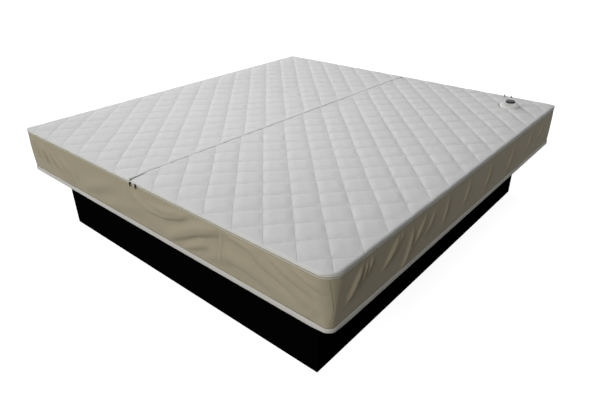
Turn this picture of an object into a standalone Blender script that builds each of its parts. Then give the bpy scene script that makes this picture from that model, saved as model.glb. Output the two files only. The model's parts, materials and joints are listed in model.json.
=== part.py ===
"""Softside waterbed: two water cores in a foam frame, zipped into a quilted fabric cover,
on a black board base. The fill valve of the right core stands up through the quilt.

X runs across the bed and Y along it, from the head end at -Y to the foot end at +Y.
The origin is on the floor, under the middle of the base. Every length is in metres.
"""

import math

import bmesh
import bpy
from mathutils import Matrix, Vector

# Driving dimensions of the whole bed
MATTRESS_WIDTH = 1.930
MATTRESS_LENGTH = 2.032
MATTRESS_HEIGHT = 0.232
HEAD_RIGHT_CORNER = 0.060
FOOT_RIGHT_CORNER = 0.025
FOOT_LEFT_CORNER = 0.020
HEAD_LEFT_CORNER = 0.020
LOW_CORNER_RADIUS = 0.030
BASE_HEIGHT = 0.305
SIDE_SETBACK = 0.127
END_SETBACK = 0.098

# Fits
GAP = 0.0003
WELD = 0.000002
CUT_OVERRUN = 0.010

# Base of boards
BOARD_THICKNESS = 0.019
BOARD_EDGE = 0.001
DIVIDER_THICKNESS = 0.016
LONG_DIVIDER_OFFSET = 0.280
CROSS_DIVIDER_SPACING = 0.460
BRACKET_LEG = 0.045
BRACKET_THICKNESS = 0.0025
BRACKET_HEIGHT = 0.180
BRACKET_LIFT = 0.060
DECK_THICKNESS = 0.010
DECK_SETBACK = 0.010
DECK_PANELS = 3

# Fabric shell of the mattress
BAND_HEIGHT = 0.024
BAND_THICKNESS = 0.002
BORDER_SETBACK = 0.0025
BORDER_THICKNESS = 0.0015
BORDER_TAPER_SHARE = 0.8
LINER_THICKNESS = 0.0008
LINER_FLANGE = 0.050
LINER_FLOOR_RADIUS = 0.015
LINER_TOP_RADIUS = 0.030
LINER_RIM_RADIUS = 0.012

# Foam inside the mattress
UNDERLAY_THICKNESS = 0.004
RAIL_BASE_WIDTH = 0.160
RAIL_TOP_WIDTH = 0.105
RAIL_CHAMFER = 0.012
WEDGE_BASE_WIDTH = 0.100
WEDGE_TOP_WIDTH = 0.030

# Heaters under the water cores
HEATER_WIDTH = 0.305
HEATER_LENGTH = 0.915
HEATER_THICKNESS = 0.003
HEATER_GLAND_WIDTH = 0.050
HEATER_GLAND_LENGTH = 0.030
HEATER_FOOT_SHIFT = 0.180

# Water cores
CORE_CROWN = 0.008
CORE_SHOULDER = 0.120
CORE_BASE_RADIUS = 0.014
CORE_TOP_RADIUS = 0.060
CORE_EDGE_ROUND = 0.016

# Quilted top
QUILT_SEAM_THICKNESS = 0.013
QUILT_CROWN = 0.008
QUILT_CREST_INSET = 0.024
QUILT_LIP_WIDTH = 0.008
QUILT_LIP_RISE = 0.0071
QUILT_TUCK = 0.010
QUILT_LEAST_EDGE = 0.004
WHOLE_SHARE = 0.97
CUT_PILLOW_SHARE = 0.35
DIAMOND_WIDTH = 0.1475
DIAMOND_LENGTH = 0.1425
RIGHT_DIAMOND_FROM_SIDE = 0.1307
RIGHT_DIAMOND_FROM_HEAD = 0.1016
LEFT_DIAMOND_FROM_SIDE = 0.0557
LEFT_DIAMOND_FROM_HEAD = 0.0870

# Centre groove between the two quilts: the zip line runs a little askew
GROOVE_HEAD_SHIFT = -0.045
GROOVE_FOOT_SHIFT = 0.015
GROOVE_TOP_HALF = 0.0095
GROOVE_LIP_HALF = 0.0062
GROOVE_FOOT_HALF = 0.0095

# Zips: two tapes with a row of teeth each, and a slider with a loop pull
ZIP_SLIT_HALF = 0.0008
ZIP_TEETH_WIDTH = 0.0018
ZIP_TEETH_THICKNESS = 0.0024
ZIP_TAPE_THICKNESS = 0.0008
CENTRE_ZIP_RISE = 0.0036
CENTRE_ZIP_END_SETBACK = 0.0050
RIM_ZIP_SETBACK = 0.0020
RIM_ZIP_DROP = 0.0090
RIM_TAPE_REACH = 0.0067
SLIDER_LENGTH = 0.012
SLIDER_HALF_WIDTH = 0.0050
SLIDER_TAIL_HALF_WIDTH = 0.0036
SLIDER_PLATE = 0.0010
SLIDER_PLAY = 0.0003
SLIDER_LIP = 0.0011
SLIDER_LIP_SLOT = 0.00075
SLIDER_WEB_HALF = 0.0005
ARCH_BORE = 0.0019
ARCH_WALL = 0.0014
ARCH_WIDTH = 0.0028
ARCH_AXIS_RISE = 0.0017
PULL_RADIUS = 0.0012
PULL_ROOT_HALF = 0.0018
PULL_WIDTHS = ((0.0012, 0.0030), (0.0040, 0.0030), (0.0100, 0.0015))
PULL_END_HALF = 0.0015
PULL_BEND = 0.005
CENTRE_PULL_LENGTH = 0.026
HEAD_PULL_LENGTH = 0.014
FOOT_PULL_DROP = 0.038
FOOT_PULL_LEAN = 0.36
HEAD_LEFT_SLIDER_FROM_GROOVE = -0.002
HEAD_RIGHT_SLIDER_FROM_GROOVE = 0.036
FOOT_LEFT_SLIDER_FROM_SIDE = 0.287
FOOT_RIGHT_SLIDER_FROM_SIDE = 0.249

# Fill valves of the two cores
VALVE_FROM_SIDE = 0.187
VALVE_FROM_FOOT = 0.193
DIMPLE_RADIUS = 0.048
DIMPLE_DEPTH = 0.0130
NECK_RADIUS = 0.019
NECK_BORE = 0.0146
NECK_FLANGE_RADIUS = 0.045
NECK_FLANGE_THICKNESS = 0.003
NECK_ABOVE_QUILT = 0.0240
HIDDEN_NECK_HEIGHT = 0.0130
QUILT_HOLE_RADIUS = 0.0215
WELL_RADIUS = 0.0526
WELL_DEPTH = 0.003
SKIRT_RADIUS = 0.052
SKIRT_TOP_RADIUS = 0.0250
SKIRT_HEIGHT = 0.0285
SKIRT_THICKNESS = 0.0030
SKIRT_HEM = 0.0025
PLEAT_DEPTH = 0.0012
PLEATS = 16
CAP_RADIUS = 0.024
CAP_HEIGHT = 0.012
CAP_TOP_WALL = 0.0035
CAP_BORE = 0.0197
CAP_DOME = 0.0012
CAP_CHAMFER = 0.0015
CAP_FLUTES = 20
CAP_FLUTE_TURN_SHARE = 0.3
CAP_FLUTE_DEPTH = 0.0007
SEAL_THICKNESS = 0.0015
HIDDEN_CAP_HEIGHT = 0.010
PLUG_PLAY = 0.0003
PLUG_LENGTH = 0.024
PLUG_HOLLOW_RADIUS = 0.0095
PLUG_HOLLOW_DEPTH = 0.012
PLUG_BAR = 0.0030

# Smoothness
CORNER_STEPS = 8
ROUND_STEPS = 24
WELL_STEPS = 32
SMOOTH_ANGLE = math.radians(35)

# Levels above the floor, worked out from the sizes above
DECK_LOW = BASE_HEIGHT + GAP
COVER_LOW = DECK_LOW + DECK_THICKNESS + GAP
FOAM_LOW = COVER_LOW + BAND_THICKNESS + GAP
LINER_LOW = FOAM_LOW + UNDERLAY_THICKNESS + GAP
CORE_LOW = LINER_LOW + LINER_THICKNESS + GAP
QUILT_HIGH = COVER_LOW + MATTRESS_HEIGHT
QUILT_SEAM = QUILT_HIGH - QUILT_CROWN
QUILT_LOW = QUILT_SEAM - QUILT_SEAM_THICKNESS
QUILT_LIP = QUILT_LOW + QUILT_LIP_RISE
RAIL_HIGH = QUILT_LOW - LINER_THICKNESS - 2 * GAP
LINER_HIGH = RAIL_HIGH + GAP
CORE_HIGH = QUILT_LOW - GAP
CORE_EDGE = CORE_HIGH - CORE_CROWN
DIMPLE_FLOOR = CORE_HIGH - CORE_CROWN - DIMPLE_DEPTH
CENTRE_ZIP_LEVEL = QUILT_LOW + CENTRE_ZIP_RISE
RIM_ZIP_LEVEL = QUILT_LIP - RIM_ZIP_DROP
BORDER_LOW = COVER_LOW + BAND_HEIGHT + GAP
BORDER_HIGH = RIM_ZIP_LEVEL - RIM_TAPE_REACH
WELL_FLOOR = QUILT_SEAM - WELL_DEPTH
SKIRT_LOW = WELL_FLOOR + GAP
NECK_HIGH = QUILT_HIGH + NECK_ABOVE_QUILT
CAP_LOW = SKIRT_LOW + SKIRT_HEIGHT + GAP

# Corner radii of the mattress in the order in which an outline runs, at its top and low down
CORNERS = (HEAD_RIGHT_CORNER, FOOT_RIGHT_CORNER, FOOT_LEFT_CORNER, HEAD_LEFT_CORNER)
LOW_CORNERS = tuple(min(corner, LOW_CORNER_RADIUS) for corner in CORNERS)

# Plan sizes worked out from the sizes above
HALF_WIDTH = MATTRESS_WIDTH / 2
HALF_LENGTH = MATTRESS_LENGTH / 2
BASE_HALF_WIDTH = HALF_WIDTH - SIDE_SETBACK
BASE_HALF_LENGTH = HALF_LENGTH - END_SETBACK
BASE_INNER_X = BASE_HALF_WIDTH - BOARD_THICKNESS - GAP
BASE_INNER_Y = BASE_HALF_LENGTH - BOARD_THICKNESS - GAP
RAIL_SETBACK = BORDER_SETBACK + BORDER_THICKNESS + GAP
RAIL_FACE_X = HALF_WIDTH - RAIL_SETBACK
RAIL_FACE_Y = HALF_LENGTH - RAIL_SETBACK
VALVE_X = HALF_WIDTH - VALVE_FROM_SIDE
VALVE_Y = HALF_LENGTH - VALVE_FROM_FOOT
SLIDER_HALF_THICKNESS = ZIP_TEETH_THICKNESS / 2 + SLIDER_PLAY + SLIDER_PLATE
ARCH_AXIS = SLIDER_HALF_THICKNESS + ARCH_AXIS_RISE
GROOVE_SLOPE = (GROOVE_FOOT_SHIFT - GROOVE_HEAD_SHIFT) / MATTRESS_LENGTH
GROOVE_ANGLE = math.atan(GROOVE_SLOPE)

# The groove wall leans in above the tape, so the tape ends a little before its foot
CENTRE_ZIP_LIP_PLAY = (GROOVE_FOOT_HALF - GROOVE_LIP_HALF) * (
    CENTRE_ZIP_RISE + ZIP_TAPE_THICKNESS) / QUILT_LIP_RISE + GAP

for old in list(bpy.data.objects):
    bpy.data.objects.remove(old)

parts = bpy.data.collections.new("waterbed")
cutters = bpy.data.collections.new("cutters")
bpy.context.scene.collection.children.link(parts)
bpy.context.scene.collection.children.link(cutters)


def material(name, colour, roughness, metallic=0.0):
    made = bpy.data.materials.new(name)
    made.use_nodes = True
    shader = made.node_tree.nodes["Principled BSDF"]
    shader.inputs["Base Color"].default_value = (*colour, 1.0)
    shader.inputs["Roughness"].default_value = roughness
    shader.inputs["Metallic"].default_value = metallic
    return made


BLACK_BOARD = material("black_board", (0.012, 0.012, 0.013), 0.65)
RAW_BOARD = material("raw_board", (0.45, 0.33, 0.20), 0.80)
STEEL = material("zinc_steel", (0.55, 0.56, 0.58), 0.40, 1.0)
BAND_FABRIC = material("band_fabric", (0.60, 0.58, 0.54), 0.85)
BORDER_FABRIC = material("border_fabric", (0.36, 0.31, 0.22), 0.55)
QUILT_FABRIC = material("quilt_fabric", (0.74, 0.74, 0.73), 0.90)
TAPE_FABRIC = material("zip_tape", (0.42, 0.40, 0.35), 0.85)
FOAM = material("foam", (0.72, 0.70, 0.55), 0.95)
LINER_VINYL = material("liner_vinyl", (0.30, 0.34, 0.40), 0.35)
CORE_VINYL = material("core_vinyl", (0.16, 0.30, 0.45), 0.25)
HEATER_VINYL = material("heater_vinyl", (0.05, 0.05, 0.06), 0.45)
VALVE_PLASTIC = material("valve_plastic", (0.70, 0.70, 0.69), 0.45)
BLACK_PLASTIC = material("black_plastic", (0.015, 0.015, 0.016), 0.40)
SLIDER_METAL = material("slider_metal", (0.10, 0.10, 0.11), 0.35, 1.0)
PULL_CORD = material("pull_cord", (0.03, 0.03, 0.03), 0.70)
SEAL_RUBBER = material("seal_rubber", (0.05, 0.05, 0.05), 0.60)


def settle(made, surface, group=parts):
    """Files an object under its collection and gives it its one material."""
    group.objects.link(made)
    made.data.materials.clear()
    made.data.materials.append(surface)
    return made


def smooth(made):
    made.data.shade_smooth()
    made.data.set_sharp_from_angle(angle=SMOOTH_ANGLE)
    return made


def mesh_object(name, shape, surface, group=parts):
    data = bpy.data.meshes.new(name)
    shape.to_mesh(data)
    shape.free()
    return settle(bpy.data.objects.new(name, data), surface, group)


def cutter(made):
    made.hide_render = True
    made.display_type = "WIRE"
    return made


def boolean(made, operation, tool):
    step = made.modifiers.new(operation.lower(), "BOOLEAN")
    step.operation = operation
    step.solver = "EXACT"
    step.object = tool


def bevel(made, width, segments=1):
    step = made.modifiers.new("edges", "BEVEL")
    step.width = width
    step.segments = segments
    step.limit_method = "ANGLE"


def solidify(made, thickness, offset):
    step = made.modifiers.new("wall", "SOLIDIFY")
    step.thickness = thickness
    step.offset = offset
    step.use_even_offset = True


def box(name, size, centre, surface, edge=BOARD_EDGE):
    shape = bmesh.new()
    bmesh.ops.create_cube(shape, size=1.0, matrix=Matrix.Diagonal((*size, 1.0)))
    made = mesh_object(name, shape, surface)
    made.location = centre
    bevel(made, edge)
    return made


def outline_curve(name, outlines, thickness):
    """A flat plate: closed outlines, the later ones holes, filled and given a thickness."""
    data = bpy.data.curves.new(name, "CURVE")
    data.dimensions = "2D"
    data.fill_mode = "BOTH"
    data.extrude = thickness / 2
    for outline in outlines:
        spline = data.splines.new("POLY")
        spline.points.add(len(outline) - 1)
        for point, (across, along) in zip(spline.points, outline):
            point.co = (across, along, 0.0, 1.0)
        spline.use_cyclic_u = True
    return bpy.data.objects.new(name, data)


def outline_mesh(name, outlines, thickness, surface, group=parts):
    """The same plate as a closed mesh, which can be cut or cut others."""
    curve = outline_curve(name, outlines, thickness)
    parts.objects.link(curve)
    graph = bpy.context.evaluated_depsgraph_get()
    data = bpy.data.meshes.new_from_object(curve.evaluated_get(graph))
    shape = bmesh.new()
    shape.from_mesh(data)
    bmesh.ops.remove_doubles(shape, verts=shape.verts, dist=WELD)
    shape.to_mesh(data)
    shape.free()
    bpy.data.objects.remove(curve)
    data.name = name
    return settle(bpy.data.objects.new(name, data), surface, group)


def loft(name, rings, surface, group=parts, closed=False, capped=True):
    """Skins a row of rings with the same count of points, each joined to the next."""
    shape = bmesh.new()
    rows = [[shape.verts.new(point) for point in ring] for ring in rings]
    pairs = list(zip(rows, rows[1:]))
    if closed:
        pairs.append((rows[-1], rows[0]))
    for low, high in pairs:
        for index in range(len(low)):
            after = (index + 1) % len(low)
            shape.faces.new((low[index], low[after], high[after], high[index]))
    if not closed:
        shape.faces.new(reversed(rows[0]))
        if capped:
            shape.faces.new(rows[-1])
    if closed or capped:
        bmesh.ops.recalc_face_normals(shape, faces=shape.faces)
    return mesh_object(name, shape, surface, group)


def turned(name, profile, surface, group=parts, closed=False, steps=ROUND_STEPS):
    """A profile of (radius, height) points, listed down its outer side, turned about Z."""
    data = bpy.data.meshes.new(name)
    links = [(index, index + 1) for index in range(len(profile) - 1)]
    if closed:
        links.append((len(profile) - 1, 0))
    data.from_pydata([(radius, 0.0, height) for radius, height in profile], links, [])
    made = settle(bpy.data.objects.new(name, data), surface, group)
    step = made.modifiers.new("turn", "SCREW")
    step.axis = "Z"
    step.steps = steps
    step.render_steps = steps
    step.use_merge_vertices = True
    step.merge_threshold = WELD
    step.use_smooth_shade = True
    return made


def plan_ring(low, high, radii, level, steps=CORNER_STEPS):
    """A rectangle with round corners, anticlockwise, at one level: low and high are corners,
    and the four radii start at the head's right corner."""
    corners = ((high[0], low[1], 1, -1), (high[0], high[1], 1, 1),
               (low[0], high[1], -1, 1), (low[0], low[1], -1, -1))
    points = []
    for quarter, (corner_x, corner_y, sign_x, sign_y) in enumerate(corners):
        radius = radii[quarter]
        for step in range(steps + 1):
            angle = (quarter - 1 + step / steps) * math.pi / 2
            points.append(Vector((
                corner_x - sign_x * radius + radius * math.cos(angle),
                corner_y - sign_y * radius + radius * math.sin(angle),
                level,
            )))
    return points


def outline_ring(setback, level, corners=CORNERS):
    """The mattress outline, moved inwards by a setback, at one level."""
    return plan_ring(
        (setback - HALF_WIDTH, setback - HALF_LENGTH),
        (HALF_WIDTH - setback, HALF_LENGTH - setback),
        [corner - setback for corner in corners],
        level,
    )


def flat(ring):
    return [(point.x, point.y) for point in ring]


# Base: four outer boards, a grid of dividers slotted over each other, brackets and a deck

def outer_boards():
    middle = BASE_HEIGHT / 2
    side_centre = BASE_HALF_WIDTH - BOARD_THICKNESS / 2
    end_centre = BASE_HALF_LENGTH - BOARD_THICKNESS / 2
    for name, sign in (("left", -1), ("right", 1)):
        box("base_" + name + "_board", (BOARD_THICKNESS, 2 * BASE_HALF_LENGTH, BASE_HEIGHT),
            (sign * side_centre, 0, middle), BLACK_BOARD)
    for name, sign in (("head", -1), ("foot", 1)):
        box("base_" + name + "_board", (2 * BASE_INNER_X, BOARD_THICKNESS, BASE_HEIGHT),
            (0, sign * end_centre, middle), BLACK_BOARD)


def slotted_outline(half_length, slots, from_top):
    """A board on edge with half-depth slots, from its top edge or its bottom edge."""
    half_slot = DIVIDER_THICKNESS / 2 + GAP
    depth = BASE_HEIGHT / 2 + GAP / 2
    level = BASE_HEIGHT if from_top else 0
    floor = BASE_HEIGHT - depth if from_top else depth
    edge = [(-half_length, level)]
    for place in slots:
        edge += [(place - half_slot, level), (place - half_slot, floor),
                 (place + half_slot, floor), (place + half_slot, level)]
    edge.append((half_length, level))
    far = 0 if from_top else BASE_HEIGHT
    return edge + [(half_length, far), (-half_length, far)]


def dividers():
    upright = math.radians(90)
    cross_places = (-CROSS_DIVIDER_SPACING, 0, CROSS_DIVIDER_SPACING)
    long_places = (-LONG_DIVIDER_OFFSET, LONG_DIVIDER_OFFSET)
    for name, place in zip(("left", "right"), long_places):
        outline = slotted_outline(BASE_INNER_Y, cross_places, True)
        made = outline_mesh("long_divider_" + name, [outline], DIVIDER_THICKNESS, RAW_BOARD)
        made.rotation_euler = (upright, 0, upright)
        made.location = (place, 0, 0)
    for name, place in zip(("head", "middle", "foot"), cross_places):
        outline = slotted_outline(BASE_INNER_X, long_places, False)
        made = outline_mesh("cross_divider_" + name, [outline], DIVIDER_THICKNESS, RAW_BOARD)
        made.rotation_euler = (upright, 0, 0)
        made.location = (0, place, 0)


def corner_brackets():
    leg, wall = BRACKET_LEG, BRACKET_THICKNESS
    outline = [(0, 0), (-leg, 0), (-leg, -wall), (-wall, -wall), (-wall, -leg), (0, -leg)]
    corners = (("foot_right", 1, 1), ("foot_left", -1, 1), ("head_left", -1, -1), ("head_right", 1, -1))
    for quarter, (name, sign_x, sign_y) in enumerate(corners):
        made = outline_mesh("bracket_" + name, [outline], BRACKET_HEIGHT, STEEL)
        made.rotation_euler = (0, 0, quarter * math.pi / 2)
        made.location = (sign_x * BASE_INNER_X, sign_y * BASE_INNER_Y,
                         BRACKET_LIFT + BRACKET_HEIGHT / 2)


def deck():
    """The deck boards lie side by side along the bed, a little inside the mattress edge."""
    outline = cutter(outline_mesh(
        "deck_outline", [flat(outline_ring(DECK_SETBACK, 0, LOW_CORNERS))],
        DECK_THICKNESS + 2 * CUT_OVERRUN, BLACK_BOARD, cutters))
    outline.location.z = DECK_LOW + DECK_THICKNESS / 2
    run = MATTRESS_LENGTH / DECK_PANELS
    for index in range(DECK_PANELS):
        middle = (index + 0.5) * run - HALF_LENGTH
        made = box("deck_board_" + str(index + 1),
                   (MATTRESS_WIDTH, run - GAP, DECK_THICKNESS),
                   (0, middle, DECK_LOW + DECK_THICKNESS / 2), BLACK_BOARD)
        made.modifiers.clear()
        boolean(made, "INTERSECT", outline)
        bevel(made, BOARD_EDGE / 2)


# Inside of the mattress: foam rails, wedge, underlay, heaters, liners and water cores

def rail_inner(level):
    """Width of a rail at a level: its inner face leans out from the bottom to the top."""
    share = (level - FOAM_LOW) / (RAIL_HIGH - FOAM_LOW)
    return RAIL_BASE_WIDTH + share * (RAIL_TOP_WIDTH - RAIL_BASE_WIDTH)


def wedge_half(level):
    """Half width of the foam wedge between the cores, which narrows upwards."""
    share = (level - LINER_LOW) / (RAIL_HIGH - LINER_LOW)
    return (WEDGE_BASE_WIDTH + share * (WEDGE_TOP_WIDTH - WEDGE_BASE_WIDTH)) / 2


def foam_rails():
    """Four mitred rails: one section run between two mitres, with round outer corners."""
    section = [(0, FOAM_LOW), (RAIL_BASE_WIDTH, FOAM_LOW), (RAIL_TOP_WIDTH, RAIL_HIGH),
               (RAIL_CHAMFER, RAIL_HIGH), (0, RAIL_HIGH - RAIL_CHAMFER)]
    envelope = cutter(loft("rail_outline", [
        outline_ring(RAIL_SETBACK, FOAM_LOW - CUT_OVERRUN),
        outline_ring(RAIL_SETBACK, RAIL_HIGH + CUT_OVERRUN),
    ], FOAM, cutters))
    mitre_gap = GAP / math.sqrt(2)
    for name, turn in (("right", 0), ("foot", 1), ("left", 2), ("head", 3)):
        face, end = (RAIL_FACE_X, RAIL_FACE_Y) if turn % 2 == 0 else (RAIL_FACE_Y, RAIL_FACE_X)
        rotate = Matrix.Rotation(turn * math.pi / 2, 3, "Z")
        rings = []
        for sign in (-1, 1):
            rings.append([rotate @ Vector((face - inward, sign * (end - inward - mitre_gap), level))
                          for inward, level in section])
        made = loft("foam_rail_" + name, rings, FOAM)
        boolean(made, "INTERSECT", envelope)


def foam_wedge():
    rings = []
    for sign in (-1, 1):
        ring = []
        for side, level in ((-1, LINER_LOW), (1, LINER_LOW), (1, RAIL_HIGH), (-1, RAIL_HIGH)):
            end = RAIL_FACE_Y - rail_inner(level) - GAP
            ring.append(Vector((side * wedge_half(level), sign * end, level)))
        rings.append(ring)
    loft("foam_wedge", rings, FOAM)


def heater_place(side):
    middle = (wedge_half(LINER_LOW) + RAIL_FACE_X - RAIL_BASE_WIDTH) / 2
    return side * middle, HEATER_FOOT_SHIFT


def heater_outline(side, grown):
    """The pad with its cord gland at the foot end, grown all round by a fit."""
    centre_x, centre_y = heater_place(side)
    half_x = HEATER_WIDTH / 2 + grown
    half_y = HEATER_LENGTH / 2 + grown
    gland = HEATER_GLAND_WIDTH / 2 + grown
    tip = half_y + HEATER_GLAND_LENGTH
    shape = [(-half_x, -half_y), (half_x, -half_y), (half_x, half_y), (gland, half_y),
             (gland, tip), (-gland, tip), (-gland, half_y), (-half_x, half_y)]
    return [(centre_x + across, centre_y + along) for across, along in shape]


def heaters_and_underlay():
    for name, side in (("left", -1), ("right", 1)):
        pad = outline_mesh("heater_pad_" + name, [heater_outline(side, 0)],
                           HEATER_THICKNESS, HEATER_VINYL)
        pad.location.z = FOAM_LOW + HEATER_THICKNESS / 2
    half_x = RAIL_FACE_X - RAIL_BASE_WIDTH - GAP
    half_y = RAIL_FACE_Y - RAIL_BASE_WIDTH - GAP
    edge = [(-half_x, -half_y), (half_x, -half_y), (half_x, half_y), (-half_x, half_y)]
    windows = [heater_outline(side, 2 * GAP) for side in (-1, 1)]
    mat = outline_mesh("foam_underlay", [edge] + windows, UNDERLAY_THICKNESS, FOAM)
    mat.location.z = FOAM_LOW + UNDERLAY_THICKNESS / 2


def bay_ring(side, level, inset, radius, ring_level=None):
    """One core's bay between wedge and rails at a level, drawn in by an inset."""
    inner = wedge_half(level) + inset
    outer = RAIL_FACE_X - rail_inner(level) - inset
    half = RAIL_FACE_Y - rail_inner(level) - inset
    low_x, high_x = (inner, outer) if side > 0 else (-outer, -inner)
    height = level if ring_level is None else ring_level
    return plan_ring((low_x, -half), (high_x, half), [radius] * len(CORNERS), height)


def liners():
    """A vinyl tub per side, whose rim lies on the rails and on half of the wedge."""
    for name, side in (("left", -1), ("right", 1)):
        inner = GAP
        outer = RAIL_FACE_X - RAIL_TOP_WIDTH + LINER_FLANGE
        half = RAIL_FACE_Y - RAIL_TOP_WIDTH + LINER_FLANGE
        low_x, high_x = (inner, outer) if side > 0 else (-outer, -inner)
        rim_radii = [LINER_RIM_RADIUS] * len(CORNERS)
        rings = [
            bay_ring(side, LINER_LOW, GAP, LINER_FLOOR_RADIUS),
            bay_ring(side, RAIL_HIGH, GAP, LINER_TOP_RADIUS, LINER_HIGH),
            plan_ring((low_x, -half), (high_x, half), rim_radii, LINER_HIGH),
        ]
        made = loft("safety_liner_" + name, rings, LINER_VINYL, capped=False)
        solidify(made, LINER_THICKNESS, -1)


def valve_dimple(name, side):
    sunk = turned(name, [(0, CORE_HIGH + CUT_OVERRUN), (DIMPLE_RADIUS, CORE_HIGH + CUT_OVERRUN),
                         (DIMPLE_RADIUS, DIMPLE_FLOOR), (0, DIMPLE_FLOOR)],
                  CORE_VINYL, cutters)
    sunk.location = (side * VALVE_X, VALVE_Y, 0)
    return cutter(sunk)


def water_cores():
    """A filled vinyl bag per side: it follows its bay, and its top crowns over the shoulder."""
    skin = LINER_THICKNESS / math.cos(math.atan2(RAIL_BASE_WIDTH - RAIL_TOP_WIDTH, RAIL_HIGH - FOAM_LOW))
    inset = skin + 2 * GAP
    for name, side in (("left", -1), ("right", 1)):
        edge_low = CORE_EDGE - CORE_EDGE_ROUND
        rings = [
            bay_ring(side, CORE_LOW, inset + CORE_EDGE_ROUND / 2, CORE_BASE_RADIUS),
            bay_ring(side, CORE_LOW + CORE_EDGE_ROUND / 2, inset, CORE_BASE_RADIUS + CORE_EDGE_ROUND / 2),
            bay_ring(side, edge_low, inset, CORE_TOP_RADIUS),
            bay_ring(side, CORE_EDGE, inset + CORE_EDGE_ROUND / 2, CORE_TOP_RADIUS),
            bay_ring(side, CORE_EDGE, inset + CORE_SHOULDER, CORE_TOP_RADIUS, CORE_HIGH),
        ]
        made = loft("water_core_" + name, rings, CORE_VINYL)
        boolean(made, "DIFFERENCE", valve_dimple("valve_dimple_" + name, side))
        smooth(made)


# Fabric shell of the mattress

def bottom_cover():
    """The white underside, a shallow tray whose wall is the band along the lower edge."""
    rings = [outline_ring(0, level, LOW_CORNERS) for level in (COVER_LOW, COVER_LOW + BAND_HEIGHT)]
    made = loft("bottom_cover", rings, BAND_FABRIC, capped=False)
    solidify(made, BAND_THICKNESS, -1)
    return smooth(made)


# Folds of a border panel: place along it, lean and half width as shares of its length, depth
# as a share of the deepest fold, and the heights where the fold starts and ends
HEAD_FOLD_SHARES = (
    (0.075, 0.055, 0.010, 0.90, 0.02, 0.95),
    (0.115, 0.085, 0.012, 1.00, 0.00, 0.90),
    (0.160, 0.095, 0.013, 0.80, 0.00, 0.80),
    (0.400, 0.030, 0.010, 0.55, 0.45, 1.00),
    (0.470, 0.030, 0.009, 0.65, 0.40, 1.00),
    (0.545, 0.035, 0.009, 0.55, 0.45, 1.00),
    (0.620, 0.040, 0.010, 0.60, 0.35, 1.00),
    (0.700, 0.060, 0.010, 0.75, 0.25, 1.00),
    (0.780, 0.070, 0.010, 0.80, 0.20, 0.95),
    (0.850, 0.080, 0.011, 0.85, 0.15, 0.95),
)
SIDE_FOLD_SHARES = (
    (0.095, -0.045, 0.009, 0.90, 0.25, 1.00),
    (0.130, -0.050, 0.009, 1.00, 0.20, 1.00),
    (0.170, -0.055, 0.009, 0.90, 0.15, 0.95),
    (0.220, -0.050, 0.010, 0.70, 0.25, 1.00),
    (0.300, -0.040, 0.010, 0.60, 0.35, 1.00),
    (0.400, -0.040, 0.011, 0.45, 0.30, 1.00),
    (0.560, -0.035, 0.012, 0.40, 0.30, 0.95),
    (0.720, -0.035, 0.012, 0.45, 0.30, 1.00),
    (0.860, -0.045, 0.011, 0.60, 0.20, 1.00),
)
FOLD_DEPTH = 0.0023
FOLD_EDGE_SHARE = 0.12
CELL_CROWDING_SHARE = 0.3


def fold_depth(along, height, folds):
    """Outward reach of the folds at a place of the panel, both given as shares from 0 to 1."""
    fade = min(1.0, height / FOLD_EDGE_SHARE, (1.0 - height) / FOLD_EDGE_SHARE)
    total = 0.0
    for place, lean, half_width, depth, low, high in folds:
        ridge = place - lean * (height - 0.5)
        away = (along - ridge) / half_width
        middle = (low + high) / 2
        ends = max(0.0, 1.0 - ((height - middle) / (high - low) * 2) ** 2)
        total += depth * ends * math.exp(-away * away)
    return FOLD_DEPTH * max(0.0, fade) * min(1.0, total)


def border_place(cell, cells):
    """Place of a grid line along a panel: its share of the straight run, from -1 to 1, and its
    share of the eighth of a circle beyond either end.

    The corner arcs have even cells. On the straight run the cells crowd towards the corners,
    where the folds are sharpest.
    """
    arc_cells = CORNER_STEPS // 2
    straight_cells = cells - 2 * arc_cells
    run = 2 * (cell - arc_cells) / straight_cells - 1
    inside = max(-1.0, min(1.0, run))
    crowded = inside * (1 + CELL_CROWDING_SHARE) - CELL_CROWDING_SHARE * inside ** 3
    return crowded, (run - inside) * straight_cells / 2 / arc_cells


def border_corner(quarter, height):
    """A corner's radius at a share of the border's height: tight, and rounder under the quilt."""
    above = max(0.0, height - BORDER_TAPER_SHARE) / (1 - BORDER_TAPER_SHARE)
    tight = LOW_CORNERS[quarter]
    return tight + above * (CORNERS[quarter] - tight)


def border_point(turn, crowded, beyond, height, setback):
    """A point of a panel in plan, the way out of the bed there, and its share of the length.

    A panel runs from the middle of one corner to the middle of the next: an eighth of a
    circle, the straight side and an eighth of a circle. turn counts quarters from +X.
    """
    half_depth, half_side = (HALF_WIDTH, HALF_LENGTH) if turn % 2 == 0 else (HALF_LENGTH, HALF_WIDTH)
    first, last = border_corner(turn, height), border_corner((turn + 1) % 4, height)
    start, end = first - half_side, half_side - last
    corner = last if beyond > 0 else first
    angle = beyond * (math.pi / 4 - GAP / 2 / (corner - setback))
    out = Vector((math.cos(angle), math.sin(angle), 0))
    centre = Vector((half_depth - corner, start + (crowded + 1) / 2 * (end - start), 0))
    rotate = Matrix.Rotation(turn * math.pi / 2, 3, "Z")
    run = first * math.pi / 4 + centre.y - start + angle * corner
    share = run / (end - start + (first + last) * math.pi / 4)
    return rotate @ (centre + out * (corner - setback)), rotate @ out, share


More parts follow.
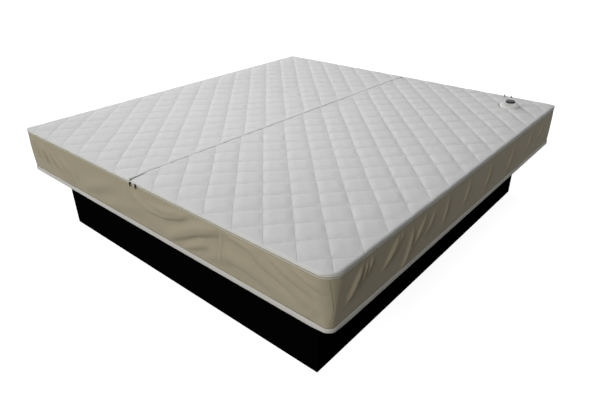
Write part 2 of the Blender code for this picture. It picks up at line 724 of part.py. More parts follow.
def border_panel(name, turn, folds, along_cells, height_cells):
    """One sewn panel of the border: a grid bent round the outline and pushed out in folds."""
    shape = bmesh.new()
    bmesh.ops.create_grid(shape, x_segments=along_cells, y_segments=height_cells, size=0.5)
    inner = BORDER_SETBACK + BORDER_THICKNESS
    for vertex in shape.verts:
        crowded, beyond = border_place((vertex.co.x + 0.5) * along_cells, along_cells)
        height = vertex.co.y + 0.5
        point, out, along = border_point(turn, crowded, beyond, height, inner)
        point += out * fold_depth(along, height, folds)
        point.z = BORDER_LOW + height * (BORDER_HIGH - BORDER_LOW)
        vertex.co = point
    made = mesh_object(name, shape, BORDER_FABRIC)
    solidify(made, BORDER_THICKNESS, 1)
    return smooth(made)


def border():
    border_panel("border_right", 0, SIDE_FOLD_SHARES, 52, 5)
    border_panel("border_foot", 1, SIDE_FOLD_SHARES, 30, 5)
    border_panel("border_left", 2, HEAD_FOLD_SHARES, 30, 5)
    border_panel("border_head", 3, HEAD_FOLD_SHARES, 52, 5)


# Quilted top: two panels of diamond pillows, rolled down to a sewn lip and tucked under

def groove_centre(along_bed):
    """The zip line's place across the bed, which drifts from the head to the foot."""
    share = (along_bed + HALF_LENGTH) / MATTRESS_LENGTH
    return GROOVE_HEAD_SHIFT + share * (GROOVE_FOOT_SHIFT - GROOVE_HEAD_SHIFT)


def diamond_field(side, centre):
    """A flat field of diamonds at the seam level: a square grid turned onto its point.

    centre is the middle of one diamond, and the field is wide enough to be cut to the panel.
    """
    half_x, half_y = DIAMOND_WIDTH / 2, DIAMOND_LENGTH / 2
    steps_x = round((side * HALF_WIDTH / 2 - centre[0]) / DIAMOND_WIDTH)
    steps_y = round(-centre[1] / DIAMOND_LENGTH)
    start_x = centre[0] + steps_x * DIAMOND_WIDTH
    start_y = centre[1] + steps_y * DIAMOND_LENGTH - half_y
    cells = 2 * math.ceil((HALF_WIDTH / 2 / half_x + HALF_LENGTH / half_y) / 2 + 1)
    shape = bmesh.new()
    bmesh.ops.create_grid(shape, x_segments=cells, y_segments=cells, size=cells / 2)
    place = Matrix((
        (half_x, -half_x, 0, start_x),
        (half_y, half_y, 0, start_y),
        (0, 0, 1, QUILT_SEAM),
        (0, 0, 0, 1),
    ))
    bmesh.ops.transform(shape, matrix=place, verts=shape.verts)
    return shape


def cut_away(shape, point, normal):
    geometry = shape.verts[:] + shape.edges[:] + shape.faces[:]
    bmesh.ops.bisect_plane(shape, geom=geometry, dist=WELD, plane_co=point,
                           plane_no=normal, clear_outer=True)


def quilt_corner(side, end):
    """Radius of the quilt's edge, inside its lip, at the corner with these signs of X and Y."""
    head, foot = (HEAD_RIGHT_CORNER, FOOT_RIGHT_CORNER) if side > 0 else (HEAD_LEFT_CORNER, FOOT_LEFT_CORNER)
    return (foot if end > 0 else head) - QUILT_LIP_WIDTH


def quilt_outline(side, shape):
    """Cuts the field to the panel: two ends, the long side, two round corners, the groove."""
    edge_x = HALF_WIDTH - QUILT_LIP_WIDTH
    edge_y = HALF_LENGTH - QUILT_LIP_WIDTH
    cut_away(shape, (side * edge_x, 0, 0), (side, 0, 0))
    inner = groove_centre(0) + side * GROOVE_TOP_HALF
    cut_away(shape, (inner, 0, 0), (-side, side * GROOVE_SLOPE, 0))
    for end in (-1, 1):
        cut_away(shape, (0, end * edge_y, 0), (0, end, 0))
        radius = quilt_corner(side, end)
        centre = Vector((side * (edge_x - radius), end * (edge_y - radius), 0))
        for quarter_share in (0.25, 0.5, 0.75):
            angle = quarter_share * math.pi / 2
            out = Vector((side * math.cos(angle), end * math.sin(angle), 0))
            cut_away(shape, centre + out * radius, out)


def lip_direction(side, point):
    """Puts an edge point on the round outline, and finds the two ways out of the panel there:
    one for the outer edges and one for the groove's edge."""
    edge_x = HALF_WIDTH - QUILT_LIP_WIDTH
    edge_y = HALF_LENGTH - QUILT_LIP_WIDTH
    end = 1 if point.y > 0 else -1
    radius = quilt_corner(side, end)
    core = Vector((side * min(side * point.x, edge_x - radius),
                   end * min(end * point.y, edge_y - radius), 0))
    away = Vector((point.x, point.y, 0)) - core
    outer = away.normalized() if away.length > radius - GAP else Vector((0, 0, 0))
    at_groove = abs(point.x - groove_centre(point.y)) < GROOVE_TOP_HALF + GAP
    if outer.length > 0:
        spot = core + outer * radius
        point.x, point.y = spot.x, spot.y
    return outer, Vector((-side if at_groove else 0, 0, 0))


def raise_pillows(shape):
    """Whole diamonds rise to a flat crest, and the cut ones at the edges to a low peak."""
    whole = DIAMOND_WIDTH * DIAMOND_LENGTH / 2
    faces = shape.faces[:]
    diamonds = [face for face in faces if face.calc_area() > whole * WHOLE_SHARE]
    cut_ones = [face for face in faces if face not in set(diamonds)]
    for face in cut_ones:
        rise = QUILT_CROWN * min(1.0, math.sqrt(face.calc_area() / whole))
        if rise > QUILT_CROWN * CUT_PILLOW_SHARE:
            bmesh.ops.poke(shape, faces=[face], offset=rise, center_mode="MEAN_WEIGHTED")
    bmesh.ops.inset_individual(shape, faces=diamonds, thickness=QUILT_CREST_INSET,
                               depth=QUILT_CROWN, use_even_offset=True)


def quilt_panel(name, side, centre):
    shape = diamond_field(side, centre)
    quilt_outline(side, shape)
    for shortest in (QUILT_LEAST_EDGE / 4, QUILT_LEAST_EDGE):
        rim = [edge for edge in shape.edges if edge.is_boundary]
        rim_points = list({vertex for edge in rim for vertex in edge.verts})
        bmesh.ops.remove_doubles(shape, verts=rim_points, dist=shortest)
    bmesh.ops.dissolve_degenerate(shape, dist=QUILT_LEAST_EDGE / 4, edges=shape.edges)
    shape.normal_update()
    raise_pillows(shape)
    rim = [edge for edge in shape.edges if edge.is_boundary]
    steps = (
        (QUILT_LIP_WIDTH, GROOVE_TOP_HALF - GROOVE_LIP_HALF, QUILT_LIP),
        (-QUILT_TUCK, GROOVE_LIP_HALF - GROOVE_FOOT_HALF, QUILT_LOW),
    )
    directions = {}
    for vertex in {vertex for edge in rim for vertex in edge.verts}:
        directions[vertex] = lip_direction(side, vertex.co)
    for outward, towards_groove, level in steps:
        before = {(round(v.co.x / WELD), round(v.co.y / WELD)): directions[v] for v in directions}
        made = bmesh.ops.extrude_edge_only(shape, edges=rim)["geom"]
        rim = [item for item in made if isinstance(item, bmesh.types.BMEdge)]
        directions = {}
        for vertex in (item for item in made if isinstance(item, bmesh.types.BMVert)):
            outer, groove = before[(round(vertex.co.x / WELD), round(vertex.co.y / WELD))]
            vertex.co += outer * outward + groove * towards_groove
            vertex.co.z = level
            directions[vertex] = (outer, groove)
    bmesh.ops.contextual_create(shape, geom=rim)
    bmesh.ops.recalc_face_normals(shape, faces=shape.faces)
    return smooth(mesh_object(name, shape, QUILT_FABRIC))


def quilts():
    """The right panel has a round well with a hole in it for the core's fill valve."""
    left_centre = (LEFT_DIAMOND_FROM_SIDE - HALF_WIDTH, LEFT_DIAMOND_FROM_HEAD - HALF_LENGTH)
    right_centre = (HALF_WIDTH - RIGHT_DIAMOND_FROM_SIDE, RIGHT_DIAMOND_FROM_HEAD - HALF_LENGTH)
    quilt_panel("quilt_left", -1, left_centre)
    panel = quilt_panel("quilt_right", 1, right_centre)
    high, low = QUILT_HIGH + CUT_OVERRUN, QUILT_LOW - CUT_OVERRUN
    well = turned("valve_well", [(0, high), (WELL_RADIUS, high), (WELL_RADIUS, WELL_FLOOR),
                                 (QUILT_HOLE_RADIUS, WELL_FLOOR), (QUILT_HOLE_RADIUS, low), (0, low)],
                  QUILT_FABRIC, cutters, steps=WELL_STEPS)
    well.location = (VALVE_X, VALVE_Y, 0)
    boolean(panel, "DIFFERENCE", cutter(well))


# Zips: the halves of a zip are a tape and a row of teeth in one section

def zip_section(tape_reach):
    """Half of a zip across its line: the teeth beside the slit, then the tape (across, up)."""
    teeth = ZIP_SLIT_HALF + ZIP_TEETH_WIDTH
    high, tape = ZIP_TEETH_THICKNESS / 2, ZIP_TAPE_THICKNESS / 2
    return [(ZIP_SLIT_HALF, -high), (teeth, -high), (teeth, -tape), (tape_reach, -tape),
            (tape_reach, tape), (teeth, tape), (teeth, high), (ZIP_SLIT_HALF, high)]


def centre_zip():
    """Lies at the foot of the groove and ends short of the rim zip."""
    end = HALF_LENGTH - CENTRE_ZIP_END_SETBACK
    for name, side in (("left", -1), ("right", 1)):
        rings = []
        for place in (-end, end):
            rings.append([Vector((groove_centre(place) + side * across, place, CENTRE_ZIP_LEVEL + up))
                          for across, up in zip_section(GROOVE_FOOT_HALF - CENTRE_ZIP_LIP_PLAY)])
        loft("centre_zip_" + name, rings, TAPE_FABRIC)


def rim_zip():
    """Runs all round the bed in the outer face, between the quilt's lip and the border."""
    quilt_slope = QUILT_LIP_RISE / QUILT_TUCK
    upper = RIM_ZIP_DROP - quilt_slope * (RIM_ZIP_SETBACK + ZIP_TAPE_THICKNESS / 2) - 2 * GAP
    for name, sign, reach in (("upper", 1, upper), ("lower", -1, RIM_TAPE_REACH - GAP)):
        section = [(RIM_ZIP_SETBACK - up, RIM_ZIP_LEVEL + sign * across)
                   for across, up in zip_section(reach)]
        loops = [outline_ring(setback, level) for setback, level in section]
        rings = [list(ring) for ring in zip(*loops)]
        loft("rim_zip_" + name, rings, TAPE_FABRIC, closed=True)


def slider_section():
    """Two plates joined by a web that runs in the slit, with lips that leave slots for tape."""
    out, thick = SLIDER_HALF_WIDTH, SLIDER_HALF_THICKNESS
    lip, room = out - SLIDER_LIP, thick - SLIDER_PLATE
    slot, web = SLIDER_LIP_SLOT, SLIDER_WEB_HALF
    quarter = [(web, room), (lip, room), (lip, slot), (out, slot), (out, thick)]
    right = [(x, -z) for x, z in reversed(quarter)] + quarter
    return right + [(-x, -z) for x, z in right]


def slider(name, holder, arch_across, facing=1):
    """A slider and its arch. The arch spans the line of travel, or stands along it.

    facing is 1 where the narrow tail points along the travel and -1 where it points back.
    """
    rings = [[Vector((x, end * SLIDER_LENGTH / 2, z)) for x, z in slider_section()] for end in (-1, 1)]
    made = loft(name, rings, SLIDER_METAL)
    made.parent = holder
    tail, nose, end = SLIDER_TAIL_HALF_WIDTH, SLIDER_HALF_WIDTH, SLIDER_LENGTH / 2
    shoulder = SLIDER_LENGTH / 8
    half = [(nose + CUT_OVERRUN, -end - CUT_OVERRUN), (nose + CUT_OVERRUN, shoulder), (nose, shoulder),
            (tail, end), (tail, end + CUT_OVERRUN)]
    shield = half + [(-x, y) for x, y in reversed(half)]
    plan = cutter(outline_mesh(name + "_plan", [[(x, facing * y) for x, y in shield]],
                               4 * SLIDER_HALF_THICKNESS, SLIDER_METAL, cutters))
    plan.parent = holder
    boolean(made, "INTERSECT", plan)
    outer, steps = ARCH_BORE + ARCH_WALL, ROUND_STEPS // 3
    foot = -ARCH_AXIS_RISE - SLIDER_PLATE / 2
    turns = [step * math.pi / steps for step in range(steps + 1)]
    outline = [(outer, foot)] + [(outer * math.cos(a), outer * math.sin(a)) for a in turns]
    outline += [(-outer, foot), (-ARCH_BORE, foot)]
    outline += [(-ARCH_BORE * math.cos(a), ARCH_BORE * math.sin(a)) for a in turns] + [(ARCH_BORE, foot)]
    arch = cutter(outline_mesh(name + "_arch", [outline], ARCH_WIDTH, SLIDER_METAL, cutters))
    arch.parent = holder
    arch.location = (0, 0, ARCH_AXIS)
    arch.rotation_euler = (math.radians(90), 0, 0 if arch_across else math.radians(90))
    boolean(made, "UNION", arch)


def pull_half_width(distance):
    """The loop is widest round the arch and draws together beyond it."""
    widths = list(PULL_WIDTHS)
    if distance >= widths[-1][0]:
        return widths[-1][1]
    for (start, first), (end, last) in zip(widths, widths[1:]):
        if distance <= end:
            return first + (last - first) * (distance - start) / (end - start)


def pull(name, holder, reach, drop, lean, along_travel):
    """A cord loop hung in the slider's arch: straight, or bent down over the bed's edge.

    A distance from the arch is laid off along a straight reach, a quarter bend and a straight
    drop, which may lean to one side.
    """
    bend = PULL_BEND * math.pi / 2 if drop else 0
    length = reach + bend + drop
    stops = [distance for distance, width in PULL_WIDTHS]
    if drop:
        stops += [reach + bend * step / 3 for step in range(4)]
    stops.append(length - PULL_END_HALF)
    side = [(0, PULL_ROOT_HALF)] + [(stop, pull_half_width(stop)) for stop in sorted(stops)]
    tip = length - PULL_END_HALF * (1 - math.sin(math.pi / 4))
    side.append((tip, PULL_END_HALF * math.cos(math.pi / 4)))
    loop = side + [(length, 0)] + [(distance, -across) for distance, across in reversed(side)]
    data = bpy.data.curves.new(name, "CURVE")
    data.dimensions = "3D"
    data.bevel_depth = PULL_RADIUS
    data.bevel_resolution = 1
    spline = data.splines.new("POLY")
    spline.points.add(len(loop) - 1)
    for point, (distance, across) in zip(spline.points, loop):
        turned_by = max(0.0, min(1.0, (distance - reach) / bend)) * math.pi / 2 if drop else 0
        past = max(0.0, distance - reach - bend)
        far = min(distance, reach) + PULL_BEND * math.sin(turned_by)
        down = PULL_BEND * (1 - math.cos(turned_by))
        if drop:
            down += past
            across += lean * past
        else:
            far += past
        place = (across, far, -down) if along_travel else (far, across, -down)
        point.co = (*place, 1.0)
    spline.use_cyclic_u = True
    made = settle(bpy.data.objects.new(name, data), PULL_CORD)
    made.parent = holder
    made.location = (0, 0, ARCH_AXIS)


def slider_holder(name, place, turn):
    holder = bpy.data.objects.new(name, None)
    parts.objects.link(holder)
    holder.matrix_world = Matrix.Translation(place) @ turn.to_4x4()
    return holder


def sliders():
    """The centre slider rests at the head end. The rim zip has a pair at each end of the bed:
    the head pair's pulls hang down the border, the foot pair's lie over the edge."""
    place = CENTRE_ZIP_END_SETBACK + SLIDER_LENGTH / 2 + 2 * GAP - HALF_LENGTH
    turn = Matrix.Rotation(-GROOVE_ANGLE, 3, "Z")
    holder = slider_holder("centre_zip_place", (groove_centre(place), place, CENTRE_ZIP_LEVEL), turn)
    slider("centre_slider", holder, False)
    pull("centre_pull", holder, CENTRE_PULL_LENGTH, 0, 0, True)
    turns = {
        "head": Matrix(((0, 1, 0), (0, 0, -1), (-1, 0, 0))),
        "foot": Matrix(((0, 1, 0), (0, 0, 1), (1, 0, 0))),
    }
    foot_reach = QUILT_HIGH + PULL_RADIUS + GAP - PULL_BEND - RIM_ZIP_LEVEL
    pulls = {"head": (HEAD_PULL_LENGTH, 0), "foot": (foot_reach, FOOT_PULL_DROP)}
    head_groove = groove_centre(-HALF_LENGTH)
    places = (
        ("head_left", head_groove + HEAD_LEFT_SLIDER_FROM_GROOVE),
        ("head_right", head_groove + HEAD_RIGHT_SLIDER_FROM_GROOVE),
        ("foot_left", HALF_WIDTH - FOOT_LEFT_SLIDER_FROM_SIDE),
        ("foot_right", HALF_WIDTH - FOOT_RIGHT_SLIDER_FROM_SIDE),
    )
    for name, place_x in places:
        end = name[:4]
        place_y = (HALF_LENGTH - RIM_ZIP_SETBACK) * (1 if end == "foot" else -1)
        holder = slider_holder("rim_place_" + name, (place_x, place_y, RIM_ZIP_LEVEL), turns[end])
        slider("rim_slider_" + name, holder, True, 1 if name.endswith("right") else -1)
        pull("rim_pull_" + name, holder, *pulls[end], FOOT_PULL_LEAN, False)


# Fill valves: a flanged neck on each core, closed by a plug and a screw cap

def neck(name, side, top):
    low = DIMPLE_FLOOR + GAP
    flange = low + NECK_FLANGE_THICKNESS
    profile = [(NECK_BORE, top), (NECK_RADIUS, top), (NECK_RADIUS, flange),
               (NECK_FLANGE_RADIUS, flange), (NECK_FLANGE_RADIUS, low), (NECK_BORE, low)]
    made = turned(name, profile, VALVE_PLASTIC, closed=True)
    made.location = (side * VALVE_X, VALVE_Y, 0)


def cap(name, side, low, height, inner_top):
    """A fluted screw cap with a shallow dome and a bore for the neck."""
    outline = []
    for step in range(2 * CAP_FLUTES):
        angle = math.pi * (step + CAP_FLUTE_TURN_SHARE) / CAP_FLUTES
        radius = CAP_RADIUS - (CAP_FLUTE_DEPTH if step % 2 else 0)
        outline.append((radius * math.cos(angle), radius * math.sin(angle)))
    made = outline_mesh(name, [outline], height, BLACK_PLASTIC)
    centre = Vector((side * VALVE_X, VALVE_Y, low + height / 2))
    made.location = centre
    half = height / 2
    dome = cutter(turned(name + "_dome", [
        (0, half), (CAP_RADIUS * 0.5, half - CAP_DOME / 4), (CAP_RADIUS - CAP_CHAMFER, half - CAP_DOME),
        (CAP_RADIUS + GAP, half - CAP_DOME - CAP_CHAMFER), (CAP_RADIUS + GAP, -height), (0, -height),
    ], BLACK_PLASTIC, cutters))
    dome.location = centre
    boolean(made, "INTERSECT", dome)
    ceiling = inner_top - low - half
    bore = cutter(turned(name + "_bore", [(0, ceiling), (CAP_BORE, ceiling), (CAP_BORE, -height),
                                          (0, -height)], BLACK_PLASTIC, cutters))
    bore.location = centre
    boolean(made, "DIFFERENCE", bore)


def skirt():
    """The white pleated skirt that covers the cut in the quilt: a domed shell, spun, with
    its pleats pressed in as a cosine round the axis that fades at the hem and at the top."""
    rim, top, wall = SKIRT_RADIUS, SKIRT_TOP_RADIUS, SKIRT_THICKNESS
    dome_shares = ((0.97, 0.20), (0.86, 0.42), (0.66, 0.66), (0.36, 0.88))
    outer = [(rim, 0), (rim - SKIRT_HEM / 4, SKIRT_HEM)]
    outer += [(top + (rim - top) * across, SKIRT_HEIGHT * up) for across, up in dome_shares]
    outer += [(top, SKIRT_HEIGHT)]
    inner = [(max(radius - wall, top - wall), max(0.0, height - wall / 2)) for radius, height in outer[2:]]
    inner[-1] = (top - wall, SKIRT_HEIGHT)
    profile = outer + list(reversed(inner)) + [(rim - wall, 0)]
    steps = 2 * PLEATS
    shape = bmesh.new()
    ring = [shape.verts.new((radius, 0, SKIRT_LOW + height)) for radius, height in profile]
    edges = [shape.edges.new((ring[index], ring[(index + 1) % len(ring)])) for index in range(len(ring))]
    bmesh.ops.spin(shape, geom=ring + edges, cent=(0, 0, 0), axis=(0, 0, 1), dvec=(0, 0, 0),
                   angle=2 * math.pi, steps=steps, use_merge=True)
    bmesh.ops.remove_doubles(shape, verts=shape.verts, dist=WELD)
    for vertex in shape.verts:
        angle = math.atan2(vertex.co.y, vertex.co.x)
        share = (math.hypot(vertex.co.x, vertex.co.y) - top + wall) / (rim - top + wall)
        fade = max(0.0, math.sin(math.pi * min(1.0, share)))
        lift = (math.cos(PLEATS * angle) - 1) * PLEAT_DEPTH / 2 * fade
        if vertex.co.z > SKIRT_LOW + SKIRT_HEM and vertex.co.z < SKIRT_LOW + SKIRT_HEIGHT - GAP:
            vertex.co.z += lift
    bmesh.ops.recalc_face_normals(shape, faces=shape.faces)
    made = smooth(mesh_object("valve_skirt", shape, VALVE_PLASTIC))
    made.location = (VALVE_X, VALVE_Y, 0)


def plug(top):
    """A stopper with a thumb hollow, and a bar left across it to pull it by."""
    radius = NECK_BORE - PLUG_PLAY
    low = top - PLUG_LENGTH
    profile = [(0, top - PLUG_HOLLOW_DEPTH), (PLUG_HOLLOW_RADIUS, top - PLUG_HOLLOW_DEPTH),
               (PLUG_HOLLOW_RADIUS, top), (radius, top), (radius, low), (0, low)]
    made = turned("valve_plug", profile, VALVE_PLASTIC)
    made.location = (VALVE_X, VALVE_Y, 0)
    bar = cutter(box("valve_plug_bar", (2 * PLUG_HOLLOW_RADIUS + PLUG_BAR, PLUG_BAR, 2 * PLUG_BAR),
                     (VALVE_X, VALVE_Y, top - PLUG_HOLLOW_DEPTH / 2), VALVE_PLASTIC))
    bar.modifiers.clear()
    parts.objects.unlink(bar)
    cutters.objects.link(bar)
    boolean(made, "UNION", bar)


def seal():
    low = NECK_HIGH + GAP
    radius = CAP_BORE - GAP
    made = turned("valve_seal", [(0, low + SEAL_THICKNESS), (radius, low + SEAL_THICKNESS),
                                 (radius, low), (0, low)], SEAL_RUBBER)
    made.location = (VALVE_X, VALVE_Y, 0)
    return low + SEAL_THICKNESS


def valves():
    neck("valve_neck", 1, NECK_HIGH)
    skirt()
    plug(NECK_HIGH - 2 * GAP)
    seal_top = seal()
    cap("valve_cap", 1, CAP_LOW, CAP_HEIGHT, seal_top + GAP)
    hidden_top = DIMPLE_FLOOR + HIDDEN_NECK_HEIGHT
    neck("hidden_valve_neck", -1, hidden_top)
    hidden_low = hidden_top + 2 * GAP + CAP_TOP_WALL - HIDDEN_CAP_HEIGHT
    cap("hidden_valve_cap", -1, hidden_low, HIDDEN_CAP_HEIGHT, hidden_top + GAP)


outer_boards()
dividers()
corner_brackets()
deck()
foam_rails()
foam_wedge()
heaters_and_underlay()
liners()
water_cores()
bottom_cover()
border()
quilts()
centre_zip()
rim_zip()
sliders()
valves()
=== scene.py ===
"""Looks for a softside waterbed: the quilted top, the folded border, the band, zips, pulls,
the fill valve and the black base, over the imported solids. Lengths are in metres."""

import json
import math

import bpy
import numpy as np
from bpy.props import FloatProperty, FloatVectorProperty, IntProperty, PointerProperty
from mathutils import Matrix, Vector


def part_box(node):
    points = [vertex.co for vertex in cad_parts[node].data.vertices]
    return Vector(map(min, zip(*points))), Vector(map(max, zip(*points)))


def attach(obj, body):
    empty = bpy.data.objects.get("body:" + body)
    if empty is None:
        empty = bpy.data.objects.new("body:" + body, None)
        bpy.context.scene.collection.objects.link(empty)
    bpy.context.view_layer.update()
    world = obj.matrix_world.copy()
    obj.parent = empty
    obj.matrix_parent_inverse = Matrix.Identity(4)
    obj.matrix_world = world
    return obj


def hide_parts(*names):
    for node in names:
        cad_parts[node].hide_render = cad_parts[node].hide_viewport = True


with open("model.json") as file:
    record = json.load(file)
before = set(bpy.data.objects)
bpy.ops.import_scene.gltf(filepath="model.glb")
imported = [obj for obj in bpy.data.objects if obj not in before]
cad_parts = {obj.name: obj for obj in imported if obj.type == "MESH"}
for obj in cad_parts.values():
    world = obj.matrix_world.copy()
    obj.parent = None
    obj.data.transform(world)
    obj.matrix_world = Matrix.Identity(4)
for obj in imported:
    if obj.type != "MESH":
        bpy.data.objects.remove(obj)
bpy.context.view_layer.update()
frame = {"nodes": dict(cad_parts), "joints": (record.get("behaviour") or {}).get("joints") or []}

bl_info = {
    "name": "Waterbed looks",
    "version": (1, 0, 0),
    "blender": (4, 5, 0),
    "location": "3D View > Sidebar > Waterbed",
    "description": "Builds the quilted top, border, zips, valve and stage of a softside waterbed",
    "category": "Object",
}

COVER_LOW, COVER_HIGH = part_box("bottom_cover")
BORDER_LOW, BORDER_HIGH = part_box("border_right")
QUILT_LOW, QUILT_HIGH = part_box("quilt_right")
UPPER_ZIP_LOW, UPPER_ZIP_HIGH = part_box("rim_zip_upper")
LOWER_ZIP_LOW, LOWER_ZIP_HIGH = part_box("rim_zip_lower")
CENTRE_ZIP_LOW, CENTRE_ZIP_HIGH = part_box("centre_zip_right")
CAP_LOW, CAP_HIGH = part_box("valve_cap")
SKIRT_LOW, SKIRT_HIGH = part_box("valve_skirt")

HALF_WIDTH = COVER_HIGH.x
HALF_LENGTH = COVER_HIGH.y
VALVE = ((CAP_LOW.x + CAP_HIGH.x) / 2, (CAP_LOW.y + CAP_HIGH.y) / 2)
CAP_RADIUS = (CAP_HIGH.x - CAP_LOW.x) / 2
SKIRT_RADIUS = (SKIRT_HIGH.x - SKIRT_LOW.x) / 2
RIM_LEVEL = (UPPER_ZIP_LOW.z + LOWER_ZIP_HIGH.z) / 2
CENTRE_LEVEL = (CENTRE_ZIP_LOW.z + CENTRE_ZIP_HIGH.z) / 2
# Places of the centre zip across the bed at its head end and its foot end
GROOVE_HEAD, GROOVE_FOOT = -0.045, 0.015
GROOVE_SLOPE = (GROOVE_FOOT - GROOVE_HEAD) / (2 * HALF_LENGTH)
QUARTER = math.pi / 2
TURN = 2 * math.pi
TINY = 1e-9
MM = 1000


class WaterbedSizes(bpy.types.PropertyGroup):
    head_right: FloatProperty(name="Head right corner", description="Radius of the top at this corner",
                              default=0.060, unit="LENGTH")
    foot_right: FloatProperty(name="Foot right corner", description="Radius of the top at this corner",
                              default=0.025, unit="LENGTH")
    foot_left: FloatProperty(name="Foot left corner", description="Radius of the top at this corner",
                             default=0.020, unit="LENGTH")
    head_left: FloatProperty(name="Head left corner", description="Radius of the top at this corner",
                             default=0.020, unit="LENGTH")
    low_corner: FloatProperty(name="Low corner", description="Largest corner radius at the lower band",
                              default=0.030, unit="LENGTH")
    crease_broad: FloatProperty(name="Broad side of the crease", default=0.074, unit="LENGTH",
                                description="Radius of the head right corner before its crease")
    crease_tight: FloatProperty(name="Tight side of the crease", default=0.012, unit="LENGTH",
                                description="Radius of the head right corner past its crease")
    diamond_width: FloatProperty(name="Diamond width", description="A quilted diamond across the bed",
                                 default=0.1475, unit="LENGTH")
    diamond_length: FloatProperty(name="Diamond length", description="A quilted diamond along the bed",
                                  default=0.1425, unit="LENGTH")
    crown: FloatProperty(name="Crown", description="Rise of a pillow over its seams",
                         default=0.0051, unit="LENGTH")
    channel: FloatProperty(name="Channel", description="How far the fill draws in beside a sewn line",
                           default=0.036, unit="LENGTH")
    roll: FloatProperty(name="Roll", description="Width of the rolled outer edge of the top",
                        default=0.007, unit="LENGTH")
    slope: FloatProperty(name="Slope", description="Fall of the top towards its outer edge",
                         default=0.0072, unit="LENGTH")
    pull_drop: FloatProperty(name="Pull drop", unit="LENGTH", default=0.0058,
                             description="How far the foot pulls lie under the top's highest level")
    head_pull: FloatProperty(name="Head pull", description="Length of the cord pulls at the head end",
                             default=0.014, unit="LENGTH")
    cell: FloatProperty(name="Cell", description="Spacing of the surface points of the top",
                        default=0.0056, unit="LENGTH")
    tooth_pitch: FloatProperty(name="Tooth pitch", description="Spacing of the zip teeth",
                               default=0.0032, unit="LENGTH")
    cord_radius: FloatProperty(name="Cord radius", description="Radius of the pulls' cord",
                               default=0.0015, unit="LENGTH")
    pleats: IntProperty(name="Pleats", description="Pleats of the valve's skirt", default=16)
    flutes: IntProperty(name="Flutes", description="Grip flutes of the screw cap", default=40)


class WaterbedColours(bpy.types.PropertyGroup):
    quilt: FloatVectorProperty(name="Quilt", description="Colour of the quilted top", subtype="COLOR",
                               size=3, default=(0.653, 0.660, 0.660), min=0, max=1)
    border: FloatVectorProperty(name="Border", description="Colour of the border panels",
                                subtype="COLOR", size=3, default=(0.372, 0.331, 0.237), min=0, max=1)
    band: FloatVectorProperty(name="Band", description="Colour of the lower band", subtype="COLOR",
                              size=3, default=(0.59, 0.575, 0.535), min=0, max=1)
    tape: FloatVectorProperty(name="Zip tape", description="Colour of the zip tapes", subtype="COLOR",
                              size=3, default=(0.30, 0.29, 0.25), min=0, max=1)
    board: FloatVectorProperty(name="Board", description="Colour of the base boards", subtype="COLOR",
                               size=3, default=(0.0012, 0.0012, 0.0012), min=0, max=1)
    skirt: FloatVectorProperty(name="Skirt", description="Colour of the valve's skirt",
                               subtype="COLOR", size=3, default=(0.57, 0.57, 0.56), min=0, max=1)
    cap: FloatVectorProperty(name="Cap", description="Colour of the screw cap", subtype="COLOR",
                             size=3, default=(0.006, 0.006, 0.006), min=0, max=1)


def sizes():
    return bpy.context.scene.waterbed_sizes


def colours():
    return bpy.context.scene.waterbed_colours


# Surfaces

def grid_quads(rows, columns, wrap_rows=False, wrap_columns=False, start=0):
    """Quads of a rows by columns grid of points; a wrapped direction joins its last to its first."""
    i = np.arange(rows if wrap_rows else rows - 1)
    j = np.arange(columns if wrap_columns else columns - 1)
    i, j = np.meshgrid(i, j, indexing="ij")
    i2, j2 = (i + 1) % rows, (j + 1) % columns
    quads = join(i * columns + j, i2 * columns + j, i2 * columns + j2, i * columns + j2)
    return quads.reshape(-1, 4) + start


def join(*parts):
    """Arrays joined as the coordinates of points or the corners of faces."""
    return np.stack(parts, -1)


def fan(hub, ring):
    """Triangles from a hub point to a closed ring of points, all given by number."""
    return join(np.full(len(ring), hub), ring, np.roll(ring, -1))


def new_piece(name, points, quads, finish, uv=None, triangles=None, smooth=True):
    """A mesh object at the origin from an array of points and an array of quads."""
    mesh = bpy.data.meshes.new(name)
    faces = quads.tolist()
    if triangles is not None:
        faces += triangles.tolist()
    mesh.from_pydata(points.reshape(-1, 3).tolist(), [], faces)
    if uv is not None:
        layer = mesh.uv_layers.new(name="cloth")
        corner = np.zeros(len(mesh.loops), np.int32)
        mesh.loops.foreach_get("vertex_index", corner)
        layer.data.foreach_set("uv", uv.reshape(-1, 2)[corner].astype(np.float32).ravel())
    if smooth:
        mesh.shade_smooth()
    mesh.materials.append(finish)
    piece = bpy.data.objects.new(name, mesh)
    bpy.context.scene.collection.objects.link(piece)
    return piece


def ease(t):
    """A smooth step from 0 at t = 0 to 1 at t = 1."""
    t = np.clip(t, 0.0, 1.0)
    return t * t * (3 - 2 * t)


def rounded(t):
    """Height of a quarter circle of radius 1 that starts upright at t = 0 and is level from 1."""
    return np.sqrt(1 - (1 - np.clip(t, 0, 1)) ** 2)


def groove_line(y):
    """Place of the centre zip across the bed, a straight line that runs slightly askew."""
    return GROOVE_HEAD + (y + HALF_LENGTH) / (2 * HALF_LENGTH) * (GROOVE_FOOT - GROOVE_HEAD)


def corner_radii(low=False):
    """The four corner radii of the outline, anticlockwise from the head's right corner."""
    s = sizes()
    radii = (s.head_right, s.foot_right, s.foot_left, s.head_left)
    return tuple(min(radius, s.low_corner) for radius in radii) if low else radii


def nearest_radius(x, y, radii):
    """Radius of the corner in whose quarter of the bed each point lies."""
    return np.where(x > 0, np.where(y > 0, radii[1], radii[0]), np.where(y > 0, radii[2], radii[3]))


def half_width_at(y, head, foot):
    """Half width of the outline at places along the bed, shortened at both ends as the round
    corners with these two radii shorten it."""
    radius = np.where(y < 0, head, foot)
    past = np.maximum(np.abs(y) - (HALF_LENGTH - radius), 0)
    return HALF_WIDTH - radius + np.sqrt(np.maximum(radius ** 2 - past ** 2, 0))


